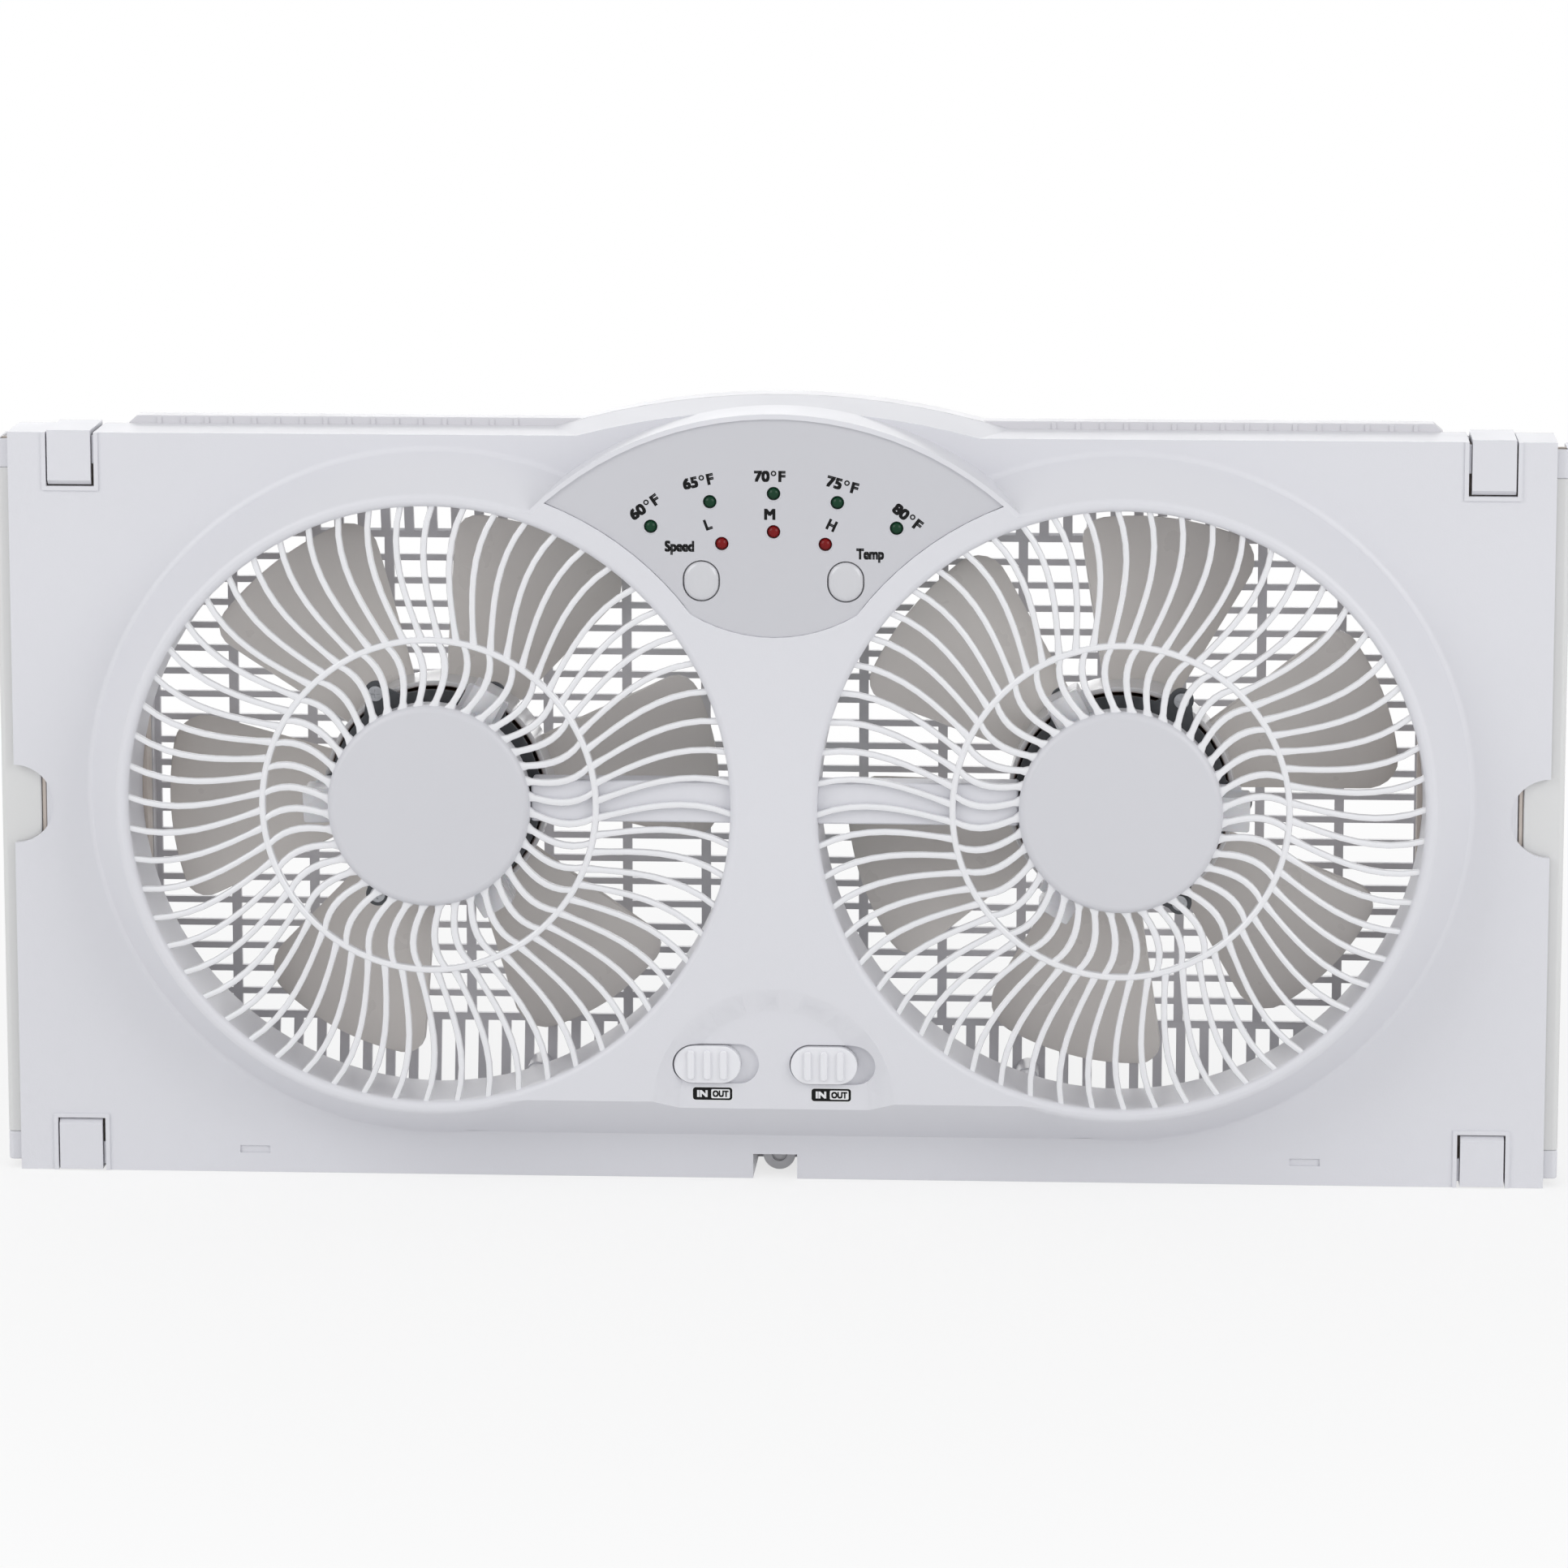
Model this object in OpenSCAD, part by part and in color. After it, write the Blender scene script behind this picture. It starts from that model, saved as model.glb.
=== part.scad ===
// Twin window fan: two fans in one flat housing, with slats that pull out of both sides.
// Millimetres. X is the width, Z is up, and the front faces -Y. Depths are measured
// back from the front plane of the two fan rings.

/* [Housing] */
// Width of the housing, without the extender bars
shell_w = 586; // [570:1:610]
// Height of the housing
shell_h = 287; // [285:1:300]
// Depth from the front rings to the back of the rear grille
depth = 80; // [78:1:96]
// Wall thickness of the mouldings
wall = 2.2; // [1.8:0.1:2.6]
// How far the flat front face lies behind the front rings
face_y = 28; // [26:0.5:29]
// Depth at which the front shell meets the rear cover
split_y = 56; // [55:0.5:58]
// Depth of the back edge of the rear cover's top and bottom walls
ridge_y = 68; // [67:0.5:70]
// How far the rear cover's ends lie below its middle, at the top and at the bottom
end_drop = 2.2; // [1.6:0.1:2.4]

/* [Fans] */
// Width left between the foot of each ring and the end of the housing
side_margin = 29.9; // [29:0.1:32]
// Height left over above and below a ring's foot, together
height_margin = 22.2; // [22:0.1:26]
// How far the feet of the two rings reach past the middle
foot_overlap = 1.7; // [1.4:0.1:2]
// How far the fan axes lie above the middle of the housing
fan_lift = 5.5; // [4:0.5:6]
// Radius of the nose on the inside edge of each ring
nose_r = 2.6; // [2:0.1:3]
// Width of each ring's flat front band, from the opening
band_w = 4.4; // [3.5:0.1:5]
// How far each ring's sloping apron spreads at its foot
apron_w = 13.7; // [12:0.1:14]
// Depth of the back edge of the round ducts
duct_back = 38; // [36:0.5:38.5]

/* [Front grilles] */
// Spokes outside the middle ring
outer_spokes = 60; // [48:1:64]
// Spokes inside the middle ring
inner_spokes = 40; // [30:1:44]
// Outside radius of the middle ring
mid_ring_r = 64.6; // [60:0.1:68]
// Width of the middle ring, seen from the front
mid_ring_w = 2.5; // [2:0.1:3]
// Width of an outer spoke
outer_spoke_w = 2.3; // [1.8:0.1:2.6]
// Width of an inner spoke
inner_spoke_w = 2.6; // [2:0.1:3]
// Thickness of the spokes, front to back
spoke_t = 3; // [2:0.1:4]
// Radius of the plain hub disc
hub_disc_r = 38.5; // [37:0.1:40]
// Width of the grille's outer rim
rim_w = 1; // [0.8:0.1:2]
// Sideways swing of the outer spokes, in degrees
outer_swing = 3.1; // [2:0.1:4]
// Sideways swing of the inner spokes, in degrees
inner_swing = 4.1; // [3:0.1:5]

/* [Control pod] */
// Radius of the pod's round top
pod_r = 133; // [132:0.1:134]
// How far the pod's top stands above the housing
pod_rise = 12; // [11:0.5:13]
// Width of the rim between the panel and the pod's top
pod_rim = 2; // [1.5:0.1:2.5]
// Chamfer round the pod's top
pod_chamfer = 1.6; // [1:0.1:2]
// Distance of the panel's lower sides from each air opening
panel_side_gap = 10.2; // [9:0.1:11]
// Height of the panel's lowest point over the centre of the pod's round top
panel_low_up = 49; // [46:0.5:52]
// Radius of the panel's lower end
panel_low_r = 60; // [55:1:66]
// Thickness of the panel
panel_t = 2.5; // [2:0.1:2.8]
// How far the panel's face lies behind the front plane
panel_y = 1; // [0.6:0.1:1.4]
// Distance of the buttons from the middle
button_x = 27.1; // [24:0.1:30]
// Height of the buttons over the centre of the pod's round top
button_up = 70; // [68:0.5:72]
// Width of a button
button_w = 14; // [12:0.1:15]
// Height of a button is more than its width by this much
button_tall = 1.6; // [1:0.1:3]
// How far a button travels
button_travel = 1.2; // [0.8:0.1:1.4]
// Radius of a lamp
led_r = 2.4; // [2:0.1:3]
// Radius of the arc that the five temperature lamps stand on
temp_arc_r = 90; // [86:0.5:94]
// Height of the centre of that arc over the centre of the pod's round top
temp_arc_up = 13.2; // [12:0.1:15]
// Angle between two temperature lamps
temp_step = 15.4; // [13:0.1:17]
// Radius of the arc that the three speed lamps stand on
speed_arc_r = 43.2; // [42:0.1:45]
// Height of the centre of that arc over the centre of the pod's round top
speed_arc_up = 45.6; // [44:0.1:47]
// Angle between two speed lamps
speed_step = 26.7; // [24:0.1:30]

/* [Airflow switches] */
// Distance of each switch from the middle
switch_x = 22.2; // [20:0.1:24]
// Height of the switches over the lower edge of the raised middle
switch_up = 14; // [12:0.5:16]
// Length of the slot that a knob slides in
slot_l = 32.8; // [31:0.1:34]
// Height of that slot
slot_h = 15.4; // [14.8:0.1:16]
// Length of a knob
knob_l = 25.4; // [24:0.1:26]
// Gap between a knob and its slot
knob_gap = 0.5; // [0.4:0.05:0.6]
// Depth of the recessed plateau that holds the switches
plateau_y = 5; // [4:0.1:6]
// How far the floor under a knob lies behind the plateau
pocket_d = 2.1; // [1.8:0.1:2.4]
// Thickness of that floor
pocket_t = 1.4; // [1.2:0.1:1.6]
// Half height of a knob's stem
stem_r = 2; // [1.6:0.1:2.2]
// Radius of the arch over the plateau, at the front plane
arch_recess_r = 46; // [44:0.5:48]
// Height of the centre of that arch
arch_recess_z = 34.3; // [33:0.1:36]
// Height of the lower edge of the raised middle
plateau_low_z = 36; // [34:0.5:38]
// Height of the middle's slope where it meets the flat face
slope_foot_z = 17; // [16:0.5:18]

/* [Motors] */
// Radius of the motor shafts
shaft_r = 4; // [3:0.1:4.5]
// Running clearance round a shaft in its bushes
shaft_gap = 0.04; // [0.02:0.01:0.08]
// Radius of the steel front flange
flange_r = 40.5; // [39:0.1:41]
// Radius of the circle that the six ear screws stand on
ear_pcd_r = 45; // [44:0.1:46]
// Radius of an ear
ear_r = 4.6; // [4:0.1:5]
// Thickness of the flange's sheet
flange_t = 2; // [1.5:0.1:2.4]
// Depth of the front of the flange
flange_y = 26.8; // [26:0.1:27.2]
// Outside radius of the laminated stator
stator_r = 36.4; // [35:0.1:37]
// Length of the stator
stator_l = 12; // [10:0.5:13]
// Air gap between stator and rotor core
air_gap = 0.4; // [0.3:0.05:0.6]
// Radius of the rotor core
core_r = 20; // [18:0.5:22]
// Outside radius of the carrier between hub disc and flange
carrier_r = 34.5; // [33:0.1:36]

/* [Fan wheels] */
// Gap between the blade tips and the round air opening
tip_gap = 7.9; // [7:0.1:14]
// Blades on each fan wheel
blade_count = 6; // [5:1:7]
// Angle that a blade fills, seen from the front
blade_sector = 40; // [34:0.5:42]
// Tilt of the blades
blade_pitch = 22; // [18:0.5:24]
// Thickness of a blade
blade_t = 2; // [1.6:0.1:2.4]
// Depth of the middle of the blades
blade_y = 55; // [54:0.5:56]
// Outside radius of the cup that carries the blades
cup_r = 43.2; // [42.8:0.1:44]
// Wall of the cup
cup_wall = 2; // [1.6:0.1:2.2]
// Depth of the front rim of the cup
cup_front = 31; // [30.5:0.1:32]
// Depth of the back of the cup
cup_back = 61; // [60:0.5:63]
// Rest angle of the left fan's first blade
left_angle = 6; // [0:1:59]
// Rest angle of the right fan's first blade
right_angle = 19; // [0:1:59]

/* [Rear grille] */
// Width between the open grille and the end of the housing
grille_side = 46; // [45:0.5:47]
// Height of the lowest crosswise bar
grille_low_z = 52; // [50:0.5:54]
// Distance of the highest crosswise bar from the top of the housing
grille_top = 45; // [43:0.5:47]
// Crosswise bars, counting the lowest and the highest
cross_bars = 22; // [18:1:24]
// Width of a crosswise bar
cross_w = 2.4; // [2:0.1:3]
// Spaces between the upright bars of the flat part
upright_spaces = 16; // [14:2:18]
// Width of an upright bar
upright_w = 3.6; // [3:0.1:4]
// Spaces between the bars of the sloping parts
slope_spaces = 54; // [48:2:60]
// Width of a bar of the sloping parts
slope_bar_w = 3.6; // [3:0.1:4]
// Thickness of the grille
grille_t = 2.6; // [2.2:0.1:3]

/* [Side extenders] */
// How far the closed extender bar stands out past the housing
bar_out = 5.5; // [4:0.1:7]
// Width of the bar at the end of each extender
bar_w = 15.5; // [14.5:0.1:16]
// Depth of the front of the bar
bar_y = 31.2; // [31:0.1:31.4]
// Thickness, front to back, of the bar
bar_d = 22; // [21:0.1:22.5]
// Thickness of the bar's and the slats' walls
slat_t = 1.6; // [1.4:0.1:1.7]
// Distance from one slat to the next, front to back
slat_pitch = 3; // [2.9:0.05:3.1]
// Depth of the front of the first slat
slat_y = 38.6; // [38.5:0.1:38.8]
// Width of an inner slat
slat_w = 49; // [48:0.5:50]
// Gap between an inner slat and the end of the housing
slat_end_gap = 1; // [0.6:0.1:2]
// How far a hooked edge reaches towards the next slat
hook = 0.95; // [0.8:0.05:1]
// Width of a hooked edge
hook_w = 2; // [1.5:0.1:2.2]
// Gap between the slats and the housing, above and below
slat_gap = 0.8; // [0.6:0.1:0.9]
// Height of the end caps of the bar
cap_h = 11; // [10:0.5:12]
// Radius of the finger notches in the front face
notch_r = 15.2; // [14:0.1:16]

/* [Corner locks] */
// Distance of each lock's middle from the end of the housing
lock_side = 23.8; // [23.5:0.1:24]
// Width of a lock
lock_w = 17.2; // [16:0.1:18]
// How far a lock reaches down or up the front face
lock_h = 20; // [18:0.5:22]
// How far a lock stands proud of the front face
lock_proud = 0.9; // [0.6:0.1:1.2]
// Gap round a lock
lock_gap = 0.6; // [0.4:0.1:0.8]
// Width of the raised border round a lock
border_w = 1.6; // [1.2:0.1:1.8]
// Radius of a lock's hinge pin
pin_r = 1; // [0.8:0.1:1.2]
// Running clearance round the pin
pin_gap = 0.06; // [0.04:0.01:0.08]
// Radius of the hinge knuckle
knuckle_r = 2.2; // [2:0.1:2.4]

/* [Screws and boards] */
// Distance of the inner case screws from the fan axes, sideways
screw_fan_x = 35.7; // [34:0.1:37]
// Distance of the outer case screws from the end of the housing
screw_side = 68; // [65:0.5:71]
// Height of the lower case screws over the lowest point of the rings' feet
screw_low_up = 17.4; // [16:0.1:19]
// Distance of the upper case screws from the highest point of the rings' feet
screw_high_down = 19.4; // [18:0.1:21]
// Radius of a case screw's shank
screw_r = 1.5; // [1.2:0.1:1.8]
// Thickness of the circuit boards
board_t = 1.6; // [1.2:0.1:2]
// Depth of the front of the control board
board_y = 12; // [11.5:0.1:13]
// Radius of the cord gland
gland_r = 6.2; // [5.5:0.1:6.5]
// Width of the notch for the cord
cord_notch_w = 17; // [15:0.5:19]
// Height of the notch for the cord
cord_notch_h = 9.5; // [9:0.5:10]

/* [Hidden] */
$fn = 64;

eps = 0.01;
front = -depth / 2;
half_w = shell_w / 2;
// The rings are the largest that fit the housing's width and height
foot_r = min(half_w - side_margin + foot_overlap, shell_h - height_margin) / 2;
band_r = foot_r - apron_w;
opening_r = band_r - band_w;
fan_x = foot_r - foot_overlap;
fan_z = shell_h / 2 + fan_lift;
tip_r = opening_r - tip_gap;
pod_z = shell_h + pod_rise - pod_r;
panel_fan_r = opening_r + panel_side_gap;
panel_low_z = pod_z + panel_low_up;
button_z = pod_z + button_up;
temp_arc_z = pod_z + temp_arc_up;
speed_arc_z = pod_z + speed_arc_up;
switch_z = plateau_low_z + switch_up;
grille_half_w = half_w - grille_side;
grille_high_z = shell_h - grille_top;
slat_out = half_w - slat_end_gap;
slat_in = slat_out - slat_w;
lock_x = half_w - lock_side;
screw_x_in = fan_x - screw_fan_x;
screw_x_out = half_w - screw_side;
screw_low_z = fan_z - foot_r + screw_low_up;
screw_high_z = fan_z + foot_r - screw_high_down;
waist_half_w = 35;
duct_wall = 2;
panel_gap = 0.25;
panel_ledge = 2;
button_flange = 1;
panel_r = pod_r - pod_rim;
face_in = face_y + wall;
grille_in = depth - grille_t;
rim_r = opening_r - 0.3;
spoke_end_r = rim_r - rim_w;
grille_y = 2;
channel_y = grille_y + spoke_t + 0.1;
channel_back = channel_y + 12;
channel_low = 6;
channel_high = 10;
lamp_back = board_y;
temp_angles = [for (i = [-2 : 2]) i * temp_step];
speed_angles = [for (i = [-1 : 1]) i * speed_step];
knob_h = slot_h - 2 * knob_gap;
knob_run = slot_l - knob_l - 2 * knob_gap;
slat_low = wall + slat_gap;
slat_high = shell_h - wall - slat_gap;
bar_outer = half_w + bar_out;
bar_inner = bar_outer - bar_w;
lock_pin_y = split_y + 3;
lock_pin_in = 3.1;
plate_t = 2.4;
stator_y = flange_y + flange_t + 2.4;
stator_back = stator_y + stator_l;
back_shield_y = stator_back + 2.6;
hump_r = 297;
hump_z = shell_h + pod_rise + 1 - hump_r;
post_r = 4;
// The inner posts start inside the rings' sloping aprons, or the slope under the raised middle
post_rise = function (z) min(
    (norm([screw_fan_x, z - fan_z]) + post_r - band_r) / apron_w,
    z > fan_z ? 1 : (plateau_low_z - z + post_r) / (plateau_low_z - slope_foot_z)
);
post_y = function (z) face_y * max(0, post_rise(z)) + wall / 2;
power_y = 20;
stake_z = button_z + 26;

// ---------------------------------------------------------------- helpers

// A flat drawing in X and Z, made t thick from depth y backwards
module plate(y, t) {
    translate([0, front + y + t, 0])
        rotate([90, 0, 0])
            linear_extrude(t)
                children();
}

// A profile of radius and depth, turned round an axis that runs front to back
module turned(x, z) {
    translate([x, front, z])
        rotate([-90, 0, 0])
            rotate_extrude()
                children();
}

// A rod or cone that runs front to back
module rod(x, z, y, l, r, r2 = -1) {
    translate([x, front + y, z])
        rotate([-90, 0, 0])
            cylinder(r1 = r, r2 = r2 < 0 ? r : r2, h = l);
}

// A block given by its low and high corners, with depth from the front plane
module block(low, high) {
    translate([low[0], front + low[1], low[2]])
        cube([high[0] - low[0], high[1] - low[1], high[2] - low[2]]);
}

// The right-hand copy of a left-hand piece is its mirror image
module sided(right) {
    mirror([right ? 1 : 0, 0, 0])
        children();
}

// A disc or a slot with round ends, drawn in X and Z
module slot_shape(w, h) {
    d = min(w, h);
    if (w > h) {
        for (s = [-1, 1]) translate([s * (w - d) / 2, 0]) circle(d / 2);
        square([w - d, d], center = true);
    } else {
        for (s = [-1, 1]) translate([0, s * (h - d) / 2]) circle(d / 2);
        square([d, h - d], center = true);
    }
}

module on_both_fans() {
    for (s = [-1, 1]) translate([s * fan_x, fan_z]) children();
}

// ---------------------------------------------------------------- housing

// Outline of the control panel, drawn in by g
module panel_shape(g) {
    low_c = panel_low_z + panel_low_r;
    difference() {
        intersection() {
            translate([0, pod_z]) circle(panel_r - g);
            union() {
                translate([0, low_c]) circle(panel_low_r - g);
                translate([-pod_r, low_c - panel_low_r * 0.55]) square([2 * pod_r, pod_r]);
            }
        }
        on_both_fans() circle(panel_fan_r + g);
    }
}

// The raised middle of the front: rings, waist, pod and plateau, drawn in by g
module raised_front(g) {
    difference() {
        union() {
            for (s = [-1, 1])
                rod(s * fan_x, fan_z, g, face_in - g, band_r - g, foot_r + apron_w * wall / face_y - g);
            plate(g, face_in - g)
                polygon([
                    [-waist_half_w + g, fan_z + 56], [waist_half_w - g, fan_z + 56],
                    [waist_half_w - g, fan_z - 69], [screw_x_in - g, plateau_low_z + g],
                    [-screw_x_in + g, plateau_low_z + g], [-waist_half_w + g, fan_z - 69]
                ]);
            translate([-fan_x, front, 0])
                rotate([90, 0, 90])
                    linear_extrude(2 * fan_x)
                        polygon([
                            [g, plateau_low_z + 40], [g, plateau_low_z + g],
                            [face_y, slope_foot_z + 1.3 * g], [face_in, slope_foot_z + 1.3 * g],
                            [face_in, plateau_low_z + 40]
                        ]);
            intersection() {
                turned(0, pod_z)
                    polygon([
                        [0, g], [pod_r - pod_chamfer - g, g], [pod_r - g, pod_chamfer + g],
                        [pod_r - g, face_in], [0, face_in]
                    ]);
                block([-pod_r, -1, pod_z + 34], [pod_r, face_in + 1, shell_h + 2 * pod_rise]);
            }
        }
        rod(0, arch_recess_z, -2, plateau_y + g + 2, arch_recess_r + 4 + g, arch_recess_r - 10 + g);
    }
}

// The low hump over the top edge, behind the pod
module hump(y0, y1, low, g) {
    plate(y0, y1 - y0)
        intersection() {
            translate([0, hump_z - low]) circle(hump_r - g);
            translate([-95 + g, shell_h - 2 * wall]) square([190 - 2 * g, 30]);
        }
}

module lock_window(g) {
    for (s = [-1, 1]) {
        translate([s * lock_x - lock_w / 2 - g, shell_h - lock_h - g]) square([lock_w + 2 * g, lock_h + 20]);
        translate([s * lock_x - lock_w / 2 - g, -20]) square([lock_w + 2 * g, lock_h + 20 + g]);
    }
}

module screw_places() {
    for (s = [-1, 1], x = [screw_x_in, screw_x_out], z = [screw_low_z, screw_high_z])
        translate([s * x, 0, z]) children();
}

module front_shell() color([0.88, 0.88, 0.9]) {
    difference() {
        union() {
            difference() {
                union() {
                    raised_front(0);
                    block([-half_w, face_y, 0], [half_w, split_y, shell_h]);
                    hump(face_y, split_y, 3, 0);
                    plate(face_y - 0.7, 2)
                        intersection() {
                            lock_window(lock_gap + border_w);
                            translate([-half_w, 0]) square([shell_w, shell_h]);
                        }
                }
                raised_front(wall);
                block([-half_w - 1, face_in, wall], [half_w + 1, split_y + 1, shell_h - wall]);
                hump(face_in, split_y + 1, 3 + wall, wall);
            }
            // frame that the panel lies in
            plate(wall / 2, panel_y + panel_t + 2 - wall / 2) panel_shape(-1.2);
            // round ducts with their nose
            for (s = [-1, 1])
                turned(s * fan_x, fan_z) {
                    translate([opening_r + nose_r, nose_r]) circle(nose_r);
                    translate([opening_r, nose_r]) square([duct_wall, duct_back - nose_r]);
                }
            // walls behind the finger notches
            for (s = [-1, 1])
                block(
                    [s * (half_w - 13) - 0.8, face_y + 0.5, shell_h / 2 - notch_r - 3],
                    [s * (half_w - 13) + 0.8, face_y + 7, shell_h / 2 + notch_r + 3]
                );
            // posts for the case screws
            for (s = [-1, 1], z = [screw_low_z, screw_high_z]) {
                rod(s * screw_x_in, z, post_y(z), split_y - post_y(z), post_r);
                rod(s * screw_x_out, z, face_y + wall / 2, split_y - face_y - wall / 2, post_r);
            }
            // posts for the power board
            for (x = [-10, 10], z = [-29, 29]) rod(x, fan_z + z, wall / 2, power_y - wall / 2, 2.5);
            // floors under the airflow knobs
            for (s = [-1, 1])
                translate([s * switch_x, 0, switch_z])
                    plate(plateau_y + wall / 2, pocket_d + pocket_t - wall / 2)
                        slot_shape(slot_l + 3, slot_h + 3);
            // pillars that hold the switches
            for (s = [-1, 1], e = [-1, 1]) {
                y = s == e ? 0.42 * plateau_y : plateau_y + wall / 2;
                rod(s * switch_x + e * 19.2, switch_z, y, plateau_y + 9.6 - y, 2);
            }
        }
        // air openings, cut clear of the nose
        for (s = [-1, 1])
            turned(s * fan_x, fan_z)
                polygon([
                    [0, -1], [opening_r + nose_r, -1], [opening_r + nose_r, 0],
                    for (a = [0 : 10 : 90])
                        [opening_r + nose_r - nose_r * sin(a), nose_r - nose_r * cos(a)],
                    [opening_r, duct_back + 1], [0, duct_back + 1]
                ]);
        // seat and window of the panel
        plate(-1, 1 + panel_y + panel_t + panel_gap) panel_shape(-panel_gap);
        plate(1, 9) panel_shape(panel_ledge);
        // slots of the airflow switches
        for (s = [-1, 1])
            translate([s * switch_x, 0, switch_z]) {
                plate(-1, plateau_y + pocket_d + 1) slot_shape(slot_l, slot_h);
                block(
                    [-knob_run / 2 - stem_r - 0.4, plateau_y, -stem_r - 0.4],
                    [knob_run / 2 + stem_r + 0.4, plateau_y + pocket_d + pocket_t + 1, stem_r + 0.4]
                );
            }
        // seats of the locks, and of their knuckles
        plate(face_y - 2, wall + 6) lock_window(lock_gap);
        plate(face_y + 4, split_y - face_y) lock_top_cut();
        // finger notches
        for (s = [-1, 1]) rod(s * half_w, shell_h / 2, face_y - 1, wall + 1.2, notch_r);
        // cord notch
        block([-cord_notch_w / 2 - 1, face_y - 1, -1], [cord_notch_w / 2 - 1, split_y + 1, cord_notch_h]);
        // small drain recesses
        for (s = [-1, 1])
            block([s * (half_w - 91) - 5.8, face_y - 1, 7.5], [s * (half_w - 91) + 5.8, face_y + 0.8, 10.4]);
        // screw bores
        screw_places() rod(0, 0, split_y - 14, 15, screw_r - 0.25);
        // ways for the wire channels
        for (s = [-1, 1])
            block(
                [s * 17 - 7, grille_y + spoke_t - 0.2, fan_z - channel_low - 0.3],
                [s * 17 + 7, channel_back + 0.2, fan_z + channel_high + 0.3]
            );
    }
}

// The locks lie in cuts through the top and bottom walls
module lock_top_cut() {
    for (s = [-1, 1]) {
        translate([s * lock_x - lock_w / 2 - lock_gap, shell_h - wall - 1.4])
            square([lock_w + 2 * lock_gap, wall + 4]);
        translate([s * lock_x - lock_w / 2 - lock_gap, -4])
            square([lock_w + 2 * lock_gap, wall + 5.4]);
    }
}

// Flat part of the rear grille: upright and crosswise bars round the windows
module flat_grille() {
    high = grille_high_z + cross_w / 2;
    low = grille_low_z - cross_w / 2;
    step_x = (2 * grille_half_w - upright_w) / upright_spaces;
    step_z = (high - low - cross_w) / (cross_bars - 1);
    holes = [
        for (i = [0 : upright_spaces - 1], j = [0 : cross_bars - 2])
            let (
                x = -grille_half_w + upright_w + i * step_x,
                z = low + cross_w + j * step_z
            )
            [[x, z], [x + step_x - upright_w, z], [x + step_x - upright_w, z + step_z - cross_w], [x, z + step_z - cross_w]]
    ];
    windows(
        [[-grille_half_w, low], [grille_half_w, low], [grille_half_w, high], [-grille_half_w, high]],
        holes
    );
}

// A sheet with a list of holes in it
module windows(edge, holes) {
    n = len(edge);
    m = len(holes[0]);
    polygon(
        concat(edge, [for (h = holes, p = h) p]),
        concat([[for (i = [0 : n - 1]) i]], [for (k = [0 : len(holes) - 1]) [for (i = [0 : m - 1]) n + k * m + i]])
    );
}

// Sloping part of the rear grille, l long, with upright bars only
module slope_grille(l) {
    step = (2 * grille_half_w - slope_bar_w) / slope_spaces;
    windows(
        [[-grille_half_w, 0], [grille_half_w, 0], [grille_half_w, l], [-grille_half_w, l]],
        [
            for (i = [0 : slope_spaces - 1])
                let (x = -grille_half_w + slope_bar_w + i * step)
                [[x, 2.2], [x + step - slope_bar_w, 2.2], [x + step - slope_bar_w, l - 2], [x, l - 2]]
        ]
    );
}

// Outline of the rear cover, drawn in by g: its ends are lower than its middle
module cover_outline(g) {
    x = grille_half_w + 3 - g / 2;
    low = [
        [-half_w + g, end_drop + g], [-x - end_drop, end_drop + g], [-x, g],
        [x, g], [x + end_drop, end_drop + g], [half_w - g, end_drop + g]
    ];
    polygon(concat(low, [for (i = [5 : -1 : 0]) [low[i][0], shell_h - low[i][1]]]));
}

// Depth of the bulged grille's outer face at height z
function slope_y(z) = ridge_y + (depth - ridge_y) * min(1, z / grille_low_z, (shell_h - z) / grille_top);

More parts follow.
